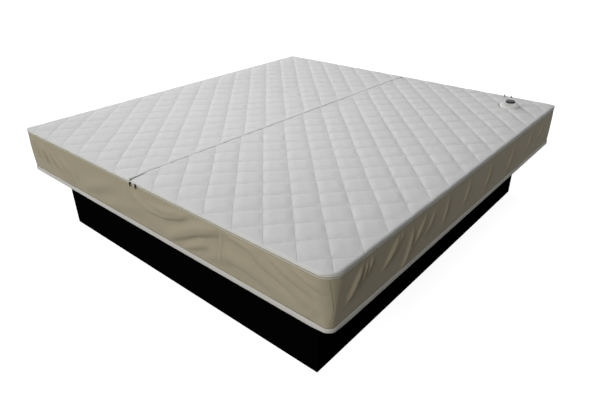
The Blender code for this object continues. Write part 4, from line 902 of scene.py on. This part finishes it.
def swept_tape(name, place, section, finish, closed, replaced, point_of):
    """A cloth tape: a closed section of (across, out) points carried along a line, with filled
    ends where the line isn't closed."""
    count = len(section)
    rings = np.stack([point_of(place, across, out) for across, out in section], axis=1)
    quads = grid_quads(len(place), count, wrap_rows=closed, wrap_columns=True)
    points, triangles = rings.reshape(-1, 3), None
    if not closed:
        hub, ring = len(points), np.arange(count)
        points = np.concatenate([points, rings[[0, -1]].mean(axis=1)])
        triangles = np.concatenate([fan(hub, ring)[:, [0, 2, 1]], fan(hub + 1, hub - count + ring)])
    uv = join(points[:, 0] + points[:, 1], points[:, 2] + points[:, 0] * 0.3)
    piece = new_piece(name, points, quads, finish, uv, triangles)
    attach(piece, "bed")
    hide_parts(replaced)


def tape_section(near, far):
    """The four corners of a flat tape between two distances from the zip's line."""
    return [(near, HALF_TAPE), (far, HALF_TAPE), (far, -HALF_TAPE), (near, -HALF_TAPE)]


def teeth(name, centres, directions, finish):
    """A row of zip teeth: the same small eight-cornered block at every place, narrower on the
    side that bites and turned to the directions there along, across and out of the zip."""
    corners = np.array([(a, b, c) for a in (-1, 1) for b in (-1, 1) for c in (-1, 1)]) * np.array(TOOTH)
    corners[:, 0] *= np.where(corners[:, 1] > 0, 0.75, 1.0)
    directions = [np.atleast_2d(direction) for direction in directions]
    points = centres[:, None] + sum(corners[None, :, k, None] * directions[k][:, None] for k in range(3))
    block = np.array([(0, 1, 3, 2), (4, 6, 7, 5), (0, 4, 5, 1), (2, 3, 7, 6), (0, 2, 6, 4), (1, 5, 7, 3)])
    if np.linalg.det([direction[0] for direction in directions]) < 0:
        block = block[:, ::-1]
    quads = 8 * np.arange(len(centres))[:, None, None] + block
    piece = new_piece(name, points, quads.reshape(-1, 4), finish, smooth=False)
    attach(piece, "bed")


def tape_material(name, paleness_and_painted_light, mottle, scale):
    """The colour of the tapes times a factor that is partly their own paleness and partly
    painted light, which lifts them against the shade under the quilt's lip and in the centre slit.
    """
    colour = [part * paleness_and_painted_light for part in colours().tape]
    return cloth_material(name, colour, 1100.0, mottle, scale, sheen=0.0)


def build_rim_zip(tooth):
    """Tapes and teeth of the rim zip, carried round the outline. The sewn edges of the tapes
    ripple, and the lower tape bulges half way down."""
    radii = corner_radii()

    def rim_point(where, up, out):
        x, y, nx, ny, _ = rim_path(where, radii)
        ripple = 0.00035 * np.sin(TURN * where * 330) * np.sin(TURN * where * 37) * (abs(up) > 0.004)
        reach = out - RIM_INSET + ripple
        return join(x + nx * reach, y + ny * reach, RIM_LEVEL + up + 0 * x)

    place = np.linspace(0, 1, 1400, endpoint=False)
    down_end = LOWER_ZIP_LOW.z - RIM_LEVEL
    upper = tape_section(SLIT, UPPER_ZIP_HIGH.z - RIM_LEVEL)
    lower = tape_section(-SLIT, down_end)[::-1]
    lower.insert(3, (down_end * 0.5, 0.0009))
    # The factors 2.7 and 2.3 are partly painted light: they lift the tapes' colour against the shade
    # under the quilt's lip
    upper_tape = tape_material("upper_zip_tape", 2.7, 0.4, 20.0)
    lower_tape = tape_material("lower_zip_tape", 2.3, 0.6, 14.0)
    swept_tape("rim_zip_upper_tape", place, upper, upper_tape, True, "rim_zip_upper", rim_point)
    swept_tape("rim_zip_lower_tape", place, lower, lower_tape, True, "rim_zip_lower", rim_point)
    around = rim_path(place, radii)[-1]
    steps = round(around / sizes().tooth_pitch)
    for row, sign in (("upper", 1), ("lower", -1)):
        where = (np.arange(steps) + (0.5 if sign > 0 else 0.0)) / steps
        _, _, nx, ny, _ = rim_path(where, radii)
        along, out = join(-ny, nx, 0 * nx), join(nx, ny, 0 * nx)
        centres = rim_point(where, sign * TOOTH_OFFSET, 0.0)
        teeth("rim_zip_teeth_" + row, centres, (along, -sign * UP, out), tooth)


def build_centre_zip(tooth):
    """Tapes and teeth of the centre zip, carried along its slanted line."""
    pitch = sizes().tooth_pitch
    end = -CENTRE_ZIP_LOW.y

    def centre_point(where, across, out):
        return join(groove_line(where) + across, where, CENTRE_LEVEL + out + 0 * where)

    place = np.linspace(-end, end, 500)
    steps = round(2 * (end - TOOTHLESS) / pitch)
    # The factor 2.8 is partly painted light: it lifts the tape's colour against the shade in the slit
    # between the two halves
    tape = tape_material("centre_zip_tape", 2.8, 0.4, 20.0)
    for name, side in (("left", -1), ("right", 1)):
        section = tape_section(side * SLIT, side * CENTRE_REACH)[::side]
        swept_tape("centre_zip_tape_" + name, place, section, tape, False, "centre_zip_" + name,
                   centre_point)
        y = -end + TOOTHLESS + (np.arange(steps) + (0.5 if side > 0 else 0.0)) * pitch
        centres = centre_point(y, side * TOOTH_OFFSET, 0.0)
        teeth("centre_zip_teeth_" + name, centres, (TRAVEL, -side * ACROSS, UP), tooth)


def build_zips():
    """Tapes and teeth of both zips."""
    # Painted light: the teeth's grey is painted lighter than their own, against the shade in the zip's
    # recess under the quilt's lip
    tooth = plain_material("zip_tooth", (0.50, 0.50, 0.47), 0.45, 300.0)
    build_rim_zip(tooth)
    build_centre_zip(tooth)


# Sliders and pulls

PULL_BEND = 0.005
# Slopes of a foot pull's end to the right and upwards, and the length that lies on the top
FOOT_LEAN, FOOT_CLIMB, FOOT_DROP = 0.36, 0.075, 0.038


def pull_loop(reach, drop=0.0, lean=0.0, climb=0.0):
    """Points of a cord loop: a closed smooth line through the loop's flat outline, which is
    then laid along a straight reach, a quarter bend and a straight drop. lean and climb are the
    slopes of the drop across the loop and along its reach."""
    bend = PULL_BEND * QUARTER if drop else 0.0
    length = reach + bend + drop
    stops = [(0.0, 0.0018), (0.0012, 0.0030), (0.0040, 0.0030), (0.0070, 0.0022), (0.0100, 0.0015)]
    stops += [(d, 0.0015) for d in np.linspace(0.0115, length - 0.0012, max(2, round(length / 0.005)))]
    stops.append((length - 0.0004, 0.0010))
    flat = np.array(stops + [(length, 0.0)] + [(d, -w) for d, w in stops[::-1]])
    fine = 6
    t = np.arange(len(flat) * fine) / fine
    i = np.floor(t).astype(int)
    f = (t - i)[:, None]
    a, b, c, d = (flat[(i + k) % len(flat)] for k in (-1, 0, 1, 2))
    square, cube = 2 * a - 5 * b + 4 * c - d, 3 * b - a - 3 * c + d
    distance, across = (0.5 * (2 * b + (c - a) * f + square * f ** 2 + cube * f ** 3)).T
    if not drop:
        return join(distance, across, 0 * distance)
    turned = np.clip((distance - reach) / bend, 0, 1) * QUARTER
    past = np.maximum(distance - reach - bend, 0)
    far = np.minimum(distance, reach) + PULL_BEND * np.sin(turned) + climb * past
    down = PULL_BEND * (1 - np.cos(turned)) + past
    return join(far, across + lean * past, -down)


def tube(name, line, radius, sides, finish, body, replaced):
    """A cord: a circle carried round a closed line on frames that turn as little as they can."""
    ahead = np.roll(line, -1, axis=0) - np.roll(line, 1, axis=0)
    ahead /= np.linalg.norm(ahead, axis=1, keepdims=True)
    side = np.zeros_like(line)
    start = np.cross(ahead[0], (0.3, 0.5, 0.8))
    side[0] = start / np.linalg.norm(start)
    for k in range(1, len(line)):
        carried = side[k - 1] - ahead[k] * np.dot(side[k - 1], ahead[k])
        side[k] = carried / np.linalg.norm(carried)
    other = np.cross(ahead, side)
    twist = math.atan2(np.dot(side[-1], other[0]), np.dot(side[-1], side[0]))
    spin = -twist * np.arange(len(line)) / len(line)
    angle = np.linspace(0, TURN, sides, endpoint=False) + spin[:, None]
    points = (line[:, None] + radius * np.cos(angle)[..., None] * side[:, None]
              + radius * np.sin(angle)[..., None] * other[:, None])
    steps = np.linalg.norm(np.diff(line, axis=0, append=line[:1]), axis=1)
    run = np.concatenate([[0], np.cumsum(steps)[:-1]])
    uv = join(np.repeat(run[:, None], sides, axis=1), angle * radius)
    quads = grid_quads(len(line), sides, wrap_rows=True, wrap_columns=True)
    piece = new_piece(name, points, quads[:, ::-1], finish, uv)
    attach(piece, body)
    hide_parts(replaced)


def build_pulls():
    """The five cord pulls, each hung in the arch of its slider, and the sliders' material. A
    foot pull stands up to where it clears the top and bends over its edge."""
    s = sizes()
    cord = cloth_material("black_cord", (0.016, 0.016, 0.016), 1500.0, 0.6, 60.0, 0.1, 0.8)
    joints = {joint["child"]: joint for joint in frame["joints"]}
    clearance = 0.0003
    reach = QUILT_HIGH.z - s.pull_drop + s.cord_radius + clearance - PULL_BEND - RIM_LEVEL
    head, foot = pull_loop(s.head_pull), pull_loop(reach, FOOT_DROP, FOOT_LEAN, FOOT_CLIMB)
    hanging, standing = (-UP, EAST, -FOOTWARDS), (UP, EAST, FOOTWARDS)
    for name, loop, directions in (
        ("centre_pull", pull_loop(0.026), (TRAVEL, ACROSS, UP)),
        ("rim_pull_head_left", head, hanging), ("rim_pull_head_right", head, hanging),
        ("rim_pull_foot_left", foot, standing), ("rim_pull_foot_right", foot, standing),
    ):
        origin = np.array(joints[name]["pos_m"])
        line = origin + sum(loop[:, k:k + 1] * directions[k] for k in range(3))
        tube(name + "_cord", line, s.cord_radius, 10, cord, name, name)
    metal = plain_material("slider_lacquer", (0.03, 0.03, 0.032), 0.35, 400.0, ((0.35, 0.34, 0.32), 0.8),
                           1.0)
    for name in frame["nodes"]:
        if "slider" in name:
            finish_node(name, metal)


# Fill valve

# Radius of the skirt's opening, the thickness of its wall and the height of its upright foot
SKIRT_TOP, SKIRT_WALL, SKIRT_FOOT = 0.0250, 0.0024, 0.0012


def turned_surface(name, profile, around, finish, shape):
    """A surface of revolution: each (radius, height) of the profile turned round the valve's
    axis, with a change of radius and height by angle. A profile that starts and ends on the
    axis closes in two poles; any other profile closes on itself."""
    r, z = np.array(profile).T
    angle = np.linspace(0, TURN, around, endpoint=False)
    rr, zz = (np.repeat(part[:, None], around, axis=1) for part in (r, z))
    rr, zz = shape(rr, zz, angle + 0 * rr)
    points = join(VALVE[0] + rr * np.cos(angle), VALVE[1] + rr * np.sin(angle), zz)
    poles = r[0] < TINY and r[-1] < TINY
    body = points[1:-1] if poles else points
    quads = grid_quads(len(body), around, wrap_rows=not poles, wrap_columns=True)
    flat, triangles = body.reshape(-1, 3), None
    if poles:
        hub, ring = len(flat), np.arange(around)
        flat = np.concatenate([flat, points[[0, -1], 0]])
        triangles = np.concatenate([fan(hub, ring), fan(hub + 1, hub - around + ring)[:, [0, 2, 1]]])
    return new_piece(name, flat, quads, finish, flat[:, :2], triangles)


def cap_profile():
    """The screw cap's section: from the middle over the shallow dome, down the side and up
    inside to the middle again."""
    low, high, radius = CAP_LOW.z, CAP_HIGH.z, CAP_RADIUS
    bore, ceiling = 0.0197, high - 0.0043
    dome = [(0.0, high - 0.0006), (0.004, high - 0.0006), (0.0055, high - 0.0001), (0.0075, high),
            (0.012, high - 0.0002), (0.017, high - 0.0007), (0.0205, high - 0.0014),
            (radius - 0.0014, high - 0.0021), (radius - 0.0005, high - 0.0030), (radius, high - 0.0042)]
    side = [(radius, low + 0.0016 + k * (high - low - 0.0058) / 4) for k in (3, 2, 1, 0)]
    inner = [(radius - 0.0006, low + 0.0005), (radius - 0.0014, low), (bore + 0.0008, low),
             (bore, low + 0.0008), (bore, ceiling), (bore * 0.6, ceiling), (0.0, ceiling)]
    return dome + side + inner


def flute(r, z, angle):
    """Draws grip flutes into the cap's side, which end under its rounded edge."""
    grip = ease((r - CAP_RADIUS + 0.0016) / 0.0012) * ease((CAP_HIGH.z - 0.0028 - z) / 0.0012)
    return r - 0.0008 * grip * (0.5 - 0.5 * np.cos(sizes().flutes * angle)) ** 0.7, z


def skirt_profile():
    """The skirt's section: a quarter of an ellipse that rises from the foot to the opening, and
    back down a wall's thickness inside."""
    base = SKIRT_LOW.z
    t = np.linspace(0, QUARTER, 22)
    outer_r = SKIRT_TOP + (SKIRT_RADIUS - SKIRT_TOP) * np.cos(t)
    outer_z = base + SKIRT_FOOT + (SKIRT_HIGH.z - base - SKIRT_FOOT) * np.sin(t)
    inner_r = np.maximum(outer_r - SKIRT_WALL, SKIRT_TOP - SKIRT_WALL)
    inner_z = np.maximum(base, outer_z - SKIRT_WALL * 0.75)
    inner_z[-1] = outer_z[-1]
    outer, inner = join(outer_r, outer_z), join(inner_r, inner_z)
    return np.concatenate([[(SKIRT_RADIUS - SKIRT_WALL, base)], inner, outer[::-1]])


def pleat(r, z, angle):
    """Sinks the skirt between its pleats, most of all half way out, and a little on two sides."""
    base = SKIRT_LOW.z
    share = np.clip((r - SKIRT_TOP + SKIRT_WALL) / (SKIRT_RADIUS - SKIRT_TOP + SKIRT_WALL), 0, 1)
    fade = np.sin(math.pi * np.clip(share * 0.86 + 0.02, 0, 1))
    fold = np.cos(sizes().pleats * angle + 0.5 * np.sin(3 * angle)) ** 2
    sag = 0.0008 * np.sin(2 * angle + 1.0)
    lift = (0.0045 * (fold - 1) + sag - 0.0008) * fade
    lowered = np.maximum(z + lift, base + 0.0001 * (z > base))
    return r, np.where(z <= base + 1e-6, z, lowered)


def build_valve():
    """The screw cap with its grip flutes and shallow dome, the pleated skirt, and the materials
    of the other parts of both valves."""
    s, c = sizes(), colours()
    black = plain_material("cap_plastic", c.cap, 0.42, 220.0, ((0.06, 0.06, 0.06), 0.5))
    cap = turned_surface("valve_cap_moulded", cap_profile(), s.flutes * 6, black, flute)
    cap.data.set_sharp_from_angle(angle=math.radians(50))
    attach(cap, "cap")
    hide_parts("valve_cap")

    white = cloth_material("skirt_cloth", c.skirt, 900.0, scale=30.0, sheen=0.1, roughness=0.75)
    skirt = turned_surface("valve_skirt_cloth", skirt_profile(), s.pleats * 12, white, pleat)
    skirt.data.set_sharp_from_angle(angle=math.radians(70))
    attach(skirt, "bed")
    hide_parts("valve_skirt")
    neck = plain_material("neck_plastic", (0.62, 0.62, 0.60), 0.45, 200.0)
    for name in ("valve_neck", "valve_plug", "hidden_valve_neck"):
        finish_node(name, neck)
    finish_node("valve_seal", plain_material("seal_rubber", (0.02, 0.02, 0.02), 0.7, 260.0))
    finish_node("hidden_valve_cap", black)


# Base and hidden pieces

def build_base():
    """Materials of the base boards, brackets and everything inside the mattress."""
    board = plain_material("black_laminate", colours().board, 0.75, 60.0, ((0.004, 0.004, 0.004), 0.25),
                           Specular_IOR_Level=0.0)
    raw = plain_material("particle_board", (0.42, 0.30, 0.18), 0.85, 45.0)
    steel = plain_material("zinc_plate", (0.55, 0.56, 0.58), 0.38, 150.0, ((0.8, 0.8, 0.8), 0.6), 1.0)
    foam = plain_material("open_foam", (0.68, 0.66, 0.50), 0.95, 500.0)
    liner = plain_material("liner_film", (0.26, 0.30, 0.36), 0.35, 80.0)
    core = plain_material("core_film", (0.13, 0.26, 0.42), 0.25, 60.0)
    heater = plain_material("heater_laminate", (0.04, 0.04, 0.05), 0.45, 90.0)
    kinds = (("base_", board), ("deck_", board), ("divider", raw), ("bracket", steel), ("foam_", foam),
             ("safety_liner", liner), ("water_core", core), ("heater", heater))
    for name in frame["nodes"]:
        for word, finish in kinds:
            if word in name:
                finish_node(name, finish)


# Stage

# The camera, as fitted to the photo: its focal length and the photo's width in pixels, the
# angles of its place round the bed and over the floor, its roll, and its place
FOCAL_PIXELS, PHOTO_WIDTH, SENSOR_WIDTH = 509.85, 602, 36.0
AZIMUTH, ELEVATION, ROLL = 0.7096, 0.4965, -0.0095
CAMERA_PLACE = (1.6599, -1.9556, 1.4279)


def lamp(name, kind, direction, distance, size, share, colour=(1.0, 1.0, 1.0)):
    """A soft lamp that shines on the bed from a direction. share is what a white sheet that
    faces it would show of full white; a sun has no distance and its size is an angle."""
    data = bpy.data.lights.new(name, kind)
    data.color = colour
    if kind == "SUN":
        data.angle = size
        data.energy = math.pi * share
    else:
        data.shape = "DISK"
        data.size = size
        data.energy = (math.pi * distance) ** 2 * share
    light = bpy.data.objects.new(name, data)
    bpy.context.scene.collection.objects.link(light)
    target = Vector((0.0, 0.0, 0.5))
    light.location = target + Vector(direction).normalized() * distance
    light.rotation_euler = (target - light.location).to_track_quat("-Z", "Y").to_euler()


def seen_directly(tree):
    """1 for rays from the camera and for reflected and refracted ones, else 0."""
    path = tree.nodes.new("ShaderNodeLightPath").outputs
    seen = maths(tree, "ADD", path["Is Camera Ray"], path["Is Glossy Ray"])
    return maths(tree, "MINIMUM", maths(tree, "ADD", seen, path["Is Transmission Ray"]), 1.0)


def build_floor():
    """A wide floor just under the bed, which lights the bed like a grey one and looks white."""
    half, level = 30.0, -0.0005
    points = np.array([(-half, -half, level), (half, -half, level), (half, half, level),
                       (-half, half, level)])
    made = bpy.data.materials.new("pale_floor")
    made.use_nodes = True
    tree = made.node_tree
    tree.nodes.clear()
    lit = new_node(tree, "BsdfDiffuse", Color=(0.30, 0.30, 0.30, 1))
    glow = new_node(tree, "Emission", Strength=times(tree, seen_directly(tree), 0.92))
    both = tree.nodes.new("ShaderNodeAddShader")
    put(tree, both.inputs[0], lit.outputs[0])
    put(tree, both.inputs[1], glow.outputs[0])
    new_node(tree, "OutputMaterial", Surface=both.outputs[0])
    floor = new_piece("floor", points, np.array([[0, 1, 2, 3]]), made, smooth=False)


def build_world():
    """A background that looks white and lights the bed faintly."""
    world = bpy.data.worlds.new("studio")
    bpy.context.scene.world = world
    world.use_nodes = True
    tree = world.node_tree
    background = tree.nodes["Background"].inputs
    background["Color"].default_value = (1, 1, 1, 1)
    put(tree, background["Strength"], maths(tree, "ADD", times(tree, seen_directly(tree), 0.82), 0.18))


def build_camera():
    """The photo's camera."""
    scene = bpy.context.scene
    data = bpy.data.cameras.new("camera")
    data.sensor_width = SENSOR_WIDTH
    data.lens = FOCAL_PIXELS / PHOTO_WIDTH * SENSOR_WIDTH
    data.clip_end = 100.0
    camera = bpy.data.objects.new("camera", data)
    scene.collection.objects.link(camera)
    back = Vector((math.sin(AZIMUTH) * math.cos(ELEVATION), -math.cos(AZIMUTH) * math.cos(ELEVATION),
                   math.sin(ELEVATION)))
    right = Vector((math.cos(AZIMUTH), math.sin(AZIMUTH), 0))
    up = back.cross(right)
    side = right * math.cos(ROLL) + up * math.sin(ROLL)
    top = up * math.cos(ROLL) - right * math.sin(ROLL)
    turn = Matrix((side, top, back)).transposed().to_4x4()
    camera.matrix_world = Matrix.Translation(CAMERA_PLACE) @ turn
    scene.camera = camera
    scene.view_settings.view_transform = "Standard"


def build_stage():
    """White floor and background, the camera, and four lamps: windows far left, near left and
    in front, and a ceiling lamp over the head end."""
    build_floor()
    build_world()
    lamp("far_window", "AREA", (-0.77, 0.53, 0.34), 7.0, 2.8, 0.60)
    lamp("ceiling", "AREA", (-0.28, -0.66, 1.80), 2.0, 1.2, 0.28)
    lamp("near_window", "SUN", (-0.66, -0.68, 0.30), 6.0, math.radians(20), 0.31)
    lamp("front_window", "SUN", (0.11, -0.86, 0.48), 6.0, math.radians(16), 0.43, (1.0, 0.985, 0.96))
    build_camera()


class WATERBED_OT_quilt(bpy.types.Operator):
    """Builds the two halves of the quilted top"""
    bl_idname = "waterbed.quilt"
    bl_label = "Quilted top"

    def execute(self, context):
        build_quilt("quilt_left_padded", -1, LEFT_DIAMOND)
        build_quilt("quilt_right_padded", 1, RIGHT_DIAMOND)
        return {"FINISHED"}


class WATERBED_OT_border(bpy.types.Operator):
    """Builds the four border panels with their folds"""
    bl_idname = "waterbed.border"
    bl_label = "Border"

    def execute(self, context):
        build_border("border_right", 0, RIGHT_FOLDS)
        build_border("border_foot", 1, HEAD_FOLDS, True)
        build_border("border_left", 2, RIGHT_FOLDS, True)
        build_border("border_head", 3, HEAD_FOLDS)
        return {"FINISHED"}


class WATERBED_OT_cover(bpy.types.Operator):
    """Builds the bottom cover with the white band"""
    bl_idname = "waterbed.cover"
    bl_label = "Bottom cover"

    def execute(self, context):
        build_cover()
        return {"FINISHED"}


class WATERBED_OT_zips(bpy.types.Operator):
    """Builds the tapes and teeth of the rim zip and the centre zip"""
    bl_idname = "waterbed.zips"
    bl_label = "Zips"

    def execute(self, context):
        build_zips()
        return {"FINISHED"}


class WATERBED_OT_pulls(bpy.types.Operator):
    """Builds the cord pulls and finishes the sliders"""
    bl_idname = "waterbed.pulls"
    bl_label = "Sliders and pulls"

    def execute(self, context):
        build_pulls()
        return {"FINISHED"}


class WATERBED_OT_valve(bpy.types.Operator):
    """Builds the fill valve's cap and skirt"""
    bl_idname = "waterbed.valve"
    bl_label = "Fill valve"

    def execute(self, context):
        build_valve()
        return {"FINISHED"}


class WATERBED_OT_base(bpy.types.Operator):
    """Finishes the base and the pieces inside the mattress"""
    bl_idname = "waterbed.base"
    bl_label = "Base and inside"

    def execute(self, context):
        build_base()
        return {"FINISHED"}


class WATERBED_OT_stage(bpy.types.Operator):
    """Builds the floor, background, lamps and camera"""
    bl_idname = "waterbed.stage"
    bl_label = "Stage"

    def execute(self, context):
        build_stage()
        return {"FINISHED"}


STEPS = ("quilt", "border", "cover", "zips", "pulls", "valve", "base", "stage")


class WATERBED_PT_looks(bpy.types.Panel):
    """Lists the steps, sizes and colours of the waterbed"""
    bl_idname = "WATERBED_PT_looks"
    bl_label = "Waterbed"
    bl_space_type = "VIEW_3D"
    bl_region_type = "UI"
    bl_category = "Waterbed"

    def draw(self, context):
        layout = self.layout
        for step in STEPS:
            layout.operator("waterbed." + step)
        for group in (context.scene.waterbed_sizes, context.scene.waterbed_colours):
            for name in group.__annotations__:
                layout.prop(group, name)


CLASSES = (WaterbedSizes, WaterbedColours, WATERBED_OT_quilt, WATERBED_OT_border, WATERBED_OT_cover,
           WATERBED_OT_zips, WATERBED_OT_pulls, WATERBED_OT_valve, WATERBED_OT_base, WATERBED_OT_stage,
           WATERBED_PT_looks)


def register():
    for made in CLASSES:
        bpy.utils.register_class(made)
    bpy.types.Scene.waterbed_sizes = PointerProperty(type=WaterbedSizes)
    bpy.types.Scene.waterbed_colours = PointerProperty(type=WaterbedColours)


def unregister():
    del bpy.types.Scene.waterbed_colours
    del bpy.types.Scene.waterbed_sizes
    for made in reversed(CLASSES):
        bpy.utils.unregister_class(made)


def main():
    register()
    bpy.ops.waterbed.quilt()
    bpy.ops.waterbed.border()
    bpy.ops.waterbed.cover()
    bpy.ops.waterbed.zips()
    bpy.ops.waterbed.pulls()
    bpy.ops.waterbed.valve()
    bpy.ops.waterbed.base()
    bpy.ops.waterbed.stage()


if __name__ == "__main__":
    main()
